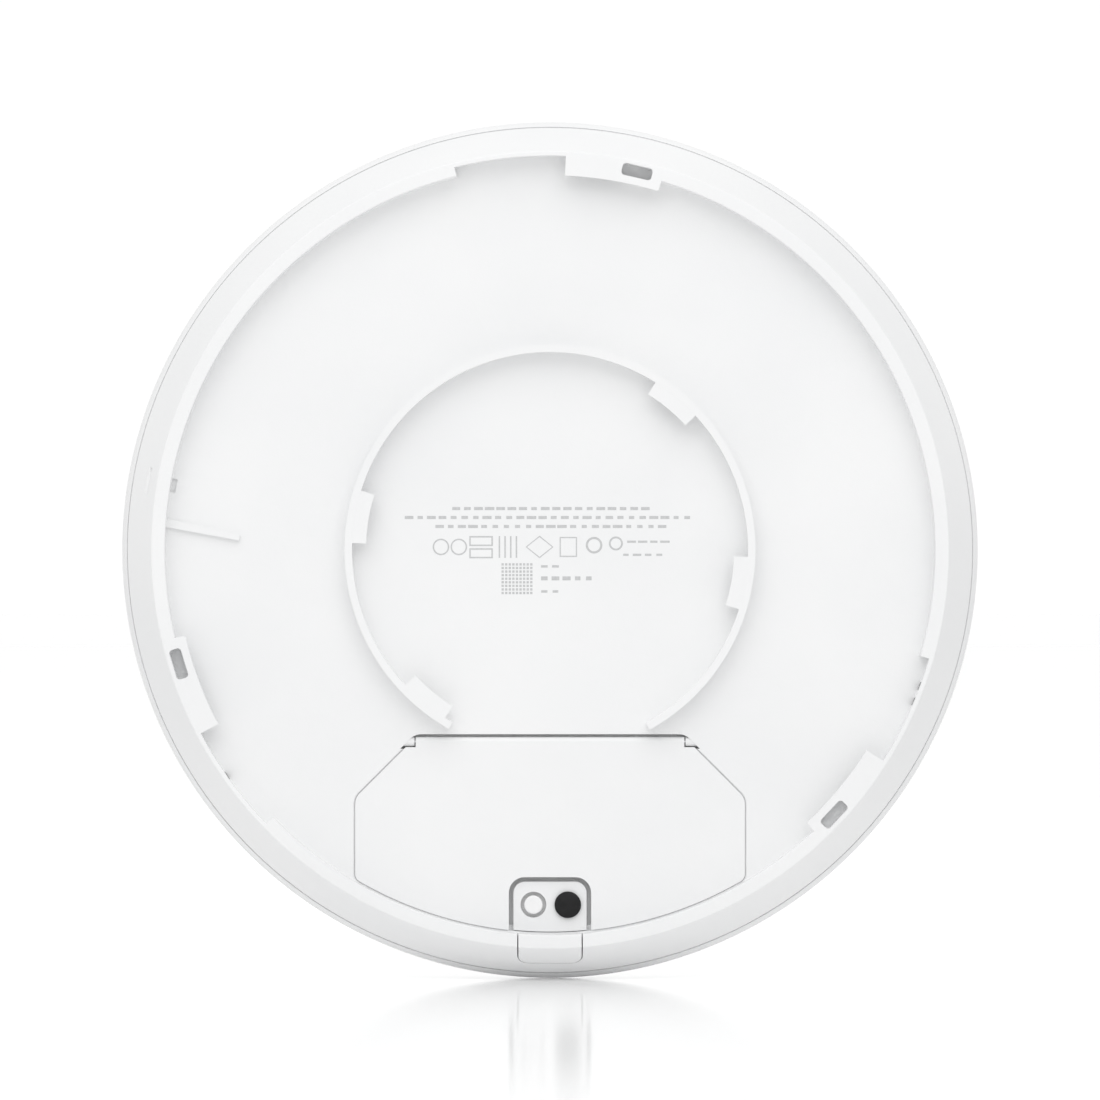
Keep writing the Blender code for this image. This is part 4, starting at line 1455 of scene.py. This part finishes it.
@dataclass
class FrontCover:
    """The domed radome with its round opening for the lamp ring."""

    paints: Paints
    radius: float = 98.5
    start: float = 16.0
    rise: float = 19.0
    hole: float = 35.85
    wall: float = 2.2
    rim_depth: float = 10.9

    def build(self) -> bpy.types.Object:
        """Make the radome.

        Returns:
            The finished radome.
        """
        top_angle = math.acos((self.hole / self.radius) ** 2)
        shell = grow(
            "radome",
            ShellTree().assemble(),
            {
                "Radius": self.radius * MM,
                "Rise": self.rise * MM,
                "Start Depth": self.start * MM,
                "Rim Drop": 1.2 * MM,
                "Rim Height": (self.start - self.rim_depth) * MM,
                "Top Angle": top_angle,
                "Turns": 361,
                "Rows": 72,
                "Material": self.paints.mixed[Slot.RADOME],
            },
        )
        self.face_outwards(shell)
        thick = shell.modifiers.new("wall", "SOLIDIFY")
        thick.thickness = self.wall * MM
        thick.offset = -1.0
        thick.use_even_offset = True
        mesh = settled_mesh(shell)
        shell.modifiers.clear()
        shell.data = mesh
        ease(shell, 0.2, 2, 50.0)
        self.paints.coat(shell, Slot.RADOME)
        fit(shell, Body.HOUSING, "front_cover")
        return shell

    def face_outwards(self, shell: bpy.types.Object) -> None:
        """Point the open shell's faces away from the disc's middle.

        Args:
            shell: the open shell.
        """
        builder = bmesh.new()
        builder.from_mesh(shell.data)
        face = max(builder.faces, key=lambda item: item.calc_center_median().y)
        if face.normal.y < 0:
            bmesh.ops.reverse_faces(builder, faces=builder.faces)
        builder.to_mesh(shell.data)
        builder.free()

    def depth_at(self, radius: float) -> float:
        """Return the dome's depth at a radius."""
        return self.start + self.rise * math.sqrt(1 - (radius / self.radius) ** 4)

    def build_lip(self) -> bpy.types.Object:
        """Make the locating lip that reaches inside the rear cover.

        Returns:
            The finished lip.
        """
        profile = [(94.15, 9.0), (94.3, 9.15), (94.3, 11.2), (96.2, 11.2)]
        profile += [(96.2, 12.6), (93.4, 12.6), (92.8, 12.0), (92.8, 9.15), (92.95, 9.0)]
        lip = turned("radome_lip", profile)
        self.paints.coat(lip, Slot.RADOME)
        return fit(lip, Body.HOUSING)


@dataclass
class LampRing:
    """The diffuser ring and the blank cap inside it."""

    paints: Paints
    front: FrontCover
    inner: float = 34.0
    outer: float = 35.5
    cap: float = 33.65
    start: float = 24.8
    flange_inner: float = 31.0
    flange_outer: float = 38.8

    def build(self) -> list[bpy.types.Object]:
        """Make the ring and the cap.

        Returns:
            Both finished pieces.
        """
        inside = self.front.depth_at(self.front.hole) - self.front.wall
        top = self.front.depth_at(self.outer)
        near, far = inside - 1.3, inside - 0.3
        profile = [(self.inner, self.start), (self.outer, self.start), (self.outer, near)]
        profile += [(self.flange_outer, near), (self.flange_outer, far), (self.outer, far)]
        profile += [(self.outer, top - 0.15), (self.outer - 0.15, top), (self.inner + 0.15, top + 0.01)]
        profile += [(self.inner, top - 0.14), (self.inner, far), (self.flange_inner, far)]
        profile += [(self.flange_inner, near), (self.inner, near)]
        ring = turned("lamp_ring", profile)
        self.paints.coat(ring, Slot.DIFFUSER)
        fit(ring, Body.HOUSING, "light_ring")
        radii = [self.cap * i / 12 for i in range(12, -1, -1)]
        face = [(radius, self.front.depth_at(radius)) for radius in radii]
        rim = face[0][1]
        cap_profile = [(0.0, inside), (self.cap - 0.1, inside), (self.cap, inside + 0.1)]
        cap_profile += fillet((self.cap - 0.2, rim - 0.21), 0.2, 0, 80)
        cap_profile += face[1:]
        cap = turned("cap_disc", cap_profile)
        self.paints.coat(cap, Slot.RADOME)
        fit(cap, Body.HOUSING, "centre_cap")
        return [ring, cap]


# ------------------------------------------------------------------ print

class Mark(Enum):
    """Plain shapes that stand for printed symbols."""

    RING = auto()
    FRAME = auto()
    DIAMOND = auto()
    BAR = auto()


@dataclass(frozen=True)
class Symbol:
    """One plain printed shape."""

    kind: Mark
    x: float
    up: float
    half: float
    tall: float
    stroke: float = 0.34

    def outlines(self) -> list[Outline]:
        """Draw the shape.

        Returns:
            Its outer outline, then the outline of its empty middle if it has one.
        """
        if self.kind is Mark.RING:
            return [circle(self.x, self.up, self.half), circle(self.x, self.up, self.half - self.stroke)]
        solid = self.corners(self.half, self.tall)
        if self.kind is Mark.BAR:
            return [solid]
        return [solid, self.corners(self.half - self.stroke, self.tall - self.stroke)]

    def corners(self, half: float, tall: float) -> Outline:
        """Draw the shape's four corners.

        Args:
            half: half its width.
            tall: half its height.

        Returns:
            The corners, anticlockwise.
        """
        x, up = self.x, self.up
        if self.kind is Mark.DIAMOND:
            return [(x - half, up), (x, up - tall), (x + half, up), (x, up + tall)]
        return [(x - half, up - tall), (x + half, up - tall), (x + half, up + tall), (x - half, up + tall)]


@dataclass(frozen=True)
class DashRow:
    """One row of printed dashes."""

    left: float
    right: float
    up: float
    height: float = 0.7
    pitch: float = 2.55
    shortest: float = 1.1
    longest: float = 2.25
    filled: float = 1.0

    def count(self) -> int:
        """Return how many dashes fit."""
        return int((self.right - self.left) / self.pitch) + 1


@dataclass
class DashTree:
    """Geometry Nodes tree for a row of dashes with uneven lengths and a few gaps."""

    name: str = "dash_row"

    def assemble(self) -> bpy.types.NodeTree:
        """Wire the tree.

        Returns:
            The finished tree.
        """
        tree = bpy.data.node_groups.new(self.name, "GeometryNodeTree")
        sockets = tree.interface
        for label in ("Left", "Up", "Depth", "Pitch", "Height", "Shortest", "Longest", "Thickness", "Filled"):
            sockets.new_socket(label, in_out="INPUT", socket_type="NodeSocketFloat")
        for label in ("Count", "Seed"):
            sockets.new_socket(label, in_out="INPUT", socket_type="NodeSocketInt")
        sockets.new_socket("Material", in_out="INPUT", socket_type="NodeSocketMaterial")
        sockets.new_socket("Geometry", in_out="OUTPUT", socket_type="NodeSocketGeometry")
        nodes, link = tree.nodes, tree.links.new
        given = nodes.new("NodeGroupInput").outputs
        start = nodes.new("ShaderNodeCombineXYZ")
        link(given["Left"], start.inputs["X"])
        link(given["Depth"], start.inputs["Y"])
        link(given["Up"], start.inputs["Z"])
        pitch = nodes.new("ShaderNodeCombineXYZ")
        link(given["Pitch"], pitch.inputs["X"])
        line = nodes.new("GeometryNodeMeshLine")
        link(given["Count"], line.inputs["Count"])
        link(start.outputs["Vector"], line.inputs["Start Location"])
        link(pitch.outputs["Vector"], line.inputs["Offset"])
        dash = nodes.new("GeometryNodeMeshCube")
        length = nodes.new("FunctionNodeRandomValue")
        length.data_type = "FLOAT"
        link(given["Shortest"], length.inputs[2])
        link(given["Longest"], length.inputs[3])
        link(given["Seed"], length.inputs["Seed"])
        kept = nodes.new("FunctionNodeRandomValue")
        kept.data_type = "BOOLEAN"
        link(given["Filled"], kept.inputs["Probability"])
        link(given["Seed"], kept.inputs["Seed"])
        size = nodes.new("ShaderNodeCombineXYZ")
        link(length.outputs[1], size.inputs["X"])
        link(given["Thickness"], size.inputs["Y"])
        link(given["Height"], size.inputs["Z"])
        put = nodes.new("GeometryNodeInstanceOnPoints")
        link(line.outputs["Mesh"], put.inputs["Points"])
        link(kept.outputs[3], put.inputs["Selection"])
        link(dash.outputs["Mesh"], put.inputs["Instance"])
        link(size.outputs["Vector"], put.inputs["Scale"])
        real = nodes.new("GeometryNodeRealizeInstances")
        link(put.outputs["Instances"], real.inputs["Geometry"])
        painted = nodes.new("GeometryNodeSetMaterial")
        link(real.outputs["Geometry"], painted.inputs["Geometry"])
        link(given["Material"], painted.inputs["Material"])
        out = nodes.new("NodeGroupOutput")
        link(painted.outputs["Geometry"], out.inputs["Geometry"])
        return tree


@dataclass
class PrintedNotice:
    """Print on the recess floor as dashes and plain shapes, with nothing to read."""

    depth: float = 5.5
    thickness: float = 0.02
    proud: float = 0.016
    rows: tuple[DashRow, ...] = (
        DashRow(-21.5, 22.0, 9.5),
        DashRow(-32.3, 32.6, 7.45),
        DashRow(-25.3, 25.9, 5.4),
        DashRow(18.7, 26.6, 1.9, 0.5),
        DashRow(17.4, 26.6, -1.1, 0.5),
        DashRow(-1.3, 2.2, -3.75, 0.55),
        DashRow(-1.3, 11.0, -6.5, 0.9),
        DashRow(-1.3, 2.2, -9.5, 0.55),
    )
    symbols: tuple[Symbol, ...] = (
        Symbol(Mark.RING, -25.0, 0.7, 1.9, 1.9),
        Symbol(Mark.RING, -20.9, 0.7, 1.9, 1.9),
        Symbol(Mark.FRAME, -15.8, 2.05, 2.7, 1.15),
        Symbol(Mark.FRAME, -15.8, -0.75, 2.7, 1.15),
        Symbol(Mark.BAR, -11.6, 0.7, 0.17, 2.5),
        Symbol(Mark.BAR, -10.3, 0.7, 0.17, 2.5),
        Symbol(Mark.BAR, -9.0, 0.7, 0.17, 2.5),
        Symbol(Mark.BAR, -7.7, 0.7, 0.17, 2.5),
        Symbol(Mark.DIAMOND, -2.4, 0.7, 3.2, 2.6),
        Symbol(Mark.FRAME, 4.2, 0.7, 2.0, 2.3, 0.28),
        Symbol(Mark.RING, 10.1, 1.1, 1.9, 1.9, 0.5),
        Symbol(Mark.RING, 15.1, 1.5, 1.6, 1.6, 0.42),
    )
    grid_left: float = -10.85
    grid_up: float = -3.3
    grid_pitch: float = 0.82
    grid_count: int = 9
    grid_dot: float = 0.54

    def build(self) -> bpy.types.Object:
        """Lay the print on the floor.

        Returns:
            The finished print, one mesh on the housing.
        """
        text_ink = PadInk("grey_ink").material()
        symbol_ink = PadInk("pale_ink", (0.60, 0.605, 0.61), (0.69, 0.695, 0.70)).material()
        joined = bmesh.new()
        tree = DashTree().assemble()
        for i, row in enumerate(self.rows + self.grid_rows()):
            dashes = grow("dashes", tree, self.row_values(row, 11 + i, text_ink))
            joined.from_mesh(dashes.data)
            bpy.data.objects.remove(dashes, do_unlink=True)
        split = len(joined.faces)
        for symbol in self.symbols:
            shape = plate("symbol", symbol.outlines(), self.depth - self.proud, self.depth + 0.004)
            joined.from_mesh(shape.data)
            bpy.data.objects.remove(shape, do_unlink=True)
        joined.faces.ensure_lookup_table()
        for face in joined.faces:
            face.material_index = 0 if face.index < split else 1
        mesh = bpy.data.meshes.new("floor_print")
        joined.to_mesh(mesh)
        joined.free()
        notice = show("floor_print", mesh)
        mesh.materials.clear()
        mesh.materials.append(text_ink)
        mesh.materials.append(symbol_ink)
        return fit(notice, Body.HOUSING)

    def grid_rows(self) -> tuple[DashRow, ...]:
        """Lay out the even grid of dots.

        Returns:
            One row of equal dashes for each line of the grid.
        """
        right = self.grid_left + self.grid_pitch * (self.grid_count - 1) + 0.01
        ups = [self.grid_up - self.grid_pitch * i for i in range(self.grid_count)]
        dot = self.grid_dot
        return tuple(DashRow(self.grid_left, right, up, dot, self.grid_pitch, dot, dot) for up in ups)

    def row_values(self, row: DashRow, seed: int, ink: bpy.types.Material) -> dict[str, object]:
        """Fill in the dash tree's inputs.

        Args:
            row: the row.
            seed: seed for its lengths and gaps.
            ink: the material it is printed in.

        Returns:
            The inputs by name.
        """
        return {
            "Left": row.left * MM,
            "Up": row.up * MM,
            "Depth": (self.depth - self.proud + self.thickness / 2) * MM,
            "Pitch": row.pitch * MM,
            "Height": row.height * MM,
            "Shortest": row.shortest * MM,
            "Longest": row.longest * MM,
            "Thickness": self.thickness * MM,
            "Filled": row.filled,
            "Count": row.count(),
            "Seed": seed,
            "Material": ink,
        }


# ------------------------------------------------------------------ kept frame nodes

@dataclass
class InnerWorks:
    """Frame nodes whose shapes are right as they are and only need their finishes."""

    paints: Paints

    def dress(self) -> int:
        """Coat every frame node that is still shown.

        Returns:
            How many nodes were coated.
        """
        slots = {item["node"]: item["material_slot"] for item in frame["record"]["subparts"]}
        count = 0
        for name, node in frame["nodes"].items():
            if node.hide_render:
                continue
            finish = self.paints.mixed[Slot(slots[name])]
            for i in range(max(1, len(node.material_slots))):
                if i < len(node.material_slots):
                    node.material_slots[i].material = finish
                else:
                    node.data.materials.append(finish)
            count += 1
        return count


# ------------------------------------------------------------------ studio

@dataclass
class Studio:
    """Pale glossy floor, white surroundings, one soft light from above and the camera."""

    floor_up: float = -98.5
    lens: float = 300.0
    distance: float = 2.0957
    ambient: float = 0.74
    backdrop: float = 1.02
    key_power: float = 11.0
    key_size: Point = (1.9, 1.5)
    key_place: Triple = (-0.05, -1.0, 1.15)
    floor_shade: float = 0.93
    floor_glow: float = 0.085

    def build(self) -> None:
        """Set the studio up."""
        self.set_world()
        self.lay_floor()
        self.hang_light()
        self.place_camera()
        bpy.context.scene.view_settings.view_transform = "Standard"

    def set_world(self) -> None:
        """Make the surroundings plain white, brighter to look at and to mirror than as a light."""
        world = bpy.data.worlds.new("white_room")
        bpy.context.scene.world = world
        world.use_nodes = True
        nodes, link = world.node_tree.nodes, world.node_tree.links.new
        back = nodes["Background"]
        back.inputs["Color"].default_value = (1.0, 1.0, 1.0, 1.0)
        path = nodes.new("ShaderNodeLightPath")
        blend = nodes.new("ShaderNodeMapRange")
        blend.inputs["To Min"].default_value = self.ambient
        blend.inputs["To Max"].default_value = self.backdrop
        seen = nodes.new("ShaderNodeMath")
        seen.operation = "MAXIMUM"
        link(path.outputs["Is Camera Ray"], seen.inputs[0])
        link(path.outputs["Is Glossy Ray"], seen.inputs[1])
        link(seen.outputs["Value"], blend.inputs["Value"])
        link(blend.outputs["Result"], back.inputs["Strength"])

    def lay_floor(self) -> None:
        """Lay the floor that the disc stands on."""
        mesh = bpy.data.meshes.new("studio_floor")
        builder = bmesh.new()
        bmesh.ops.create_grid(builder, x_segments=1, y_segments=1, size=12.0)
        bmesh.ops.translate(builder, verts=builder.verts, vec=(0.0, 0.0, self.floor_up * MM - 0.00005))
        builder.to_mesh(mesh)
        builder.free()
        floor = bpy.data.objects.new("studio_floor", mesh)
        bpy.context.scene.collection.objects.link(floor)
        material = bpy.data.materials.new("pale_floor")
        material.use_nodes = True
        shader = material.node_tree.nodes["Principled BSDF"]
        shade = self.floor_shade
        shader.inputs["Base Color"].default_value = (shade, shade, shade, 1.0)
        shader.inputs["Roughness"].default_value = 0.12
        shader.inputs["Specular IOR Level"].default_value = 0.35
        shader.inputs["Emission Color"].default_value = (1.0, 1.0, 1.0, 1.0)
        shader.inputs["Emission Strength"].default_value = self.floor_glow
        mesh.materials.append(material)

    def hang_light(self) -> None:
        """Hang one broad soft light above and before the disc."""
        data = bpy.data.lights.new("overhead_softbox", "AREA")
        data.shape = "RECTANGLE"
        data.size, data.size_y = self.key_size
        data.energy = self.key_power
        light = bpy.data.objects.new("overhead_softbox", data)
        light.location = self.key_place
        aim = Vector((0.0, 0.0, 0.0)) - light.location
        light.rotation_euler = aim.to_track_quat("-Z", "Y").to_euler()
        bpy.context.scene.collection.objects.link(light)

    def place_camera(self) -> None:
        """Look straight at the rear of the disc from far away."""
        data = bpy.data.cameras.new("camera")
        data.lens = self.lens
        data.sensor_width = 36.0
        data.clip_start = 0.05
        data.clip_end = 60.0
        camera = bpy.data.objects.new("camera", data)
        camera.location = (0.0, -self.distance, 0.0)
        camera.rotation_euler = (math.radians(90), 0.0, 0.0)
        bpy.context.scene.collection.objects.link(camera)
        bpy.context.scene.camera = camera


def report(*pieces: bpy.types.Object) -> None:
    """Log finished pieces.

    Args:
        pieces: the pieces, in the order they were built.
    """
    for piece in pieces:
        LOG.info("%s: %d faces", piece.name, len(piece.data.polygons))


def main() -> None:
    """Build every piece in order and report it."""
    logging.basicConfig(level=logging.INFO, format="%(name)s: %(message)s")
    paints = Paints().mix()
    plan = DoorPlan()
    report(RearCover(paints, plan).build())
    report(CableExitTab(paints).build())
    report(PortDoor(paints, plan).build())
    report(*ButtonIsland(paints).build())
    front = FrontCover(paints)
    report(front.build(), front.build_lip())
    report(*LampRing(paints, front).build())
    report(PrintedNotice().build())
    LOG.info("inner works: %d frame nodes coated", InnerWorks(paints).dress())
    Studio().build()


if __name__ == "__main__":
    main()
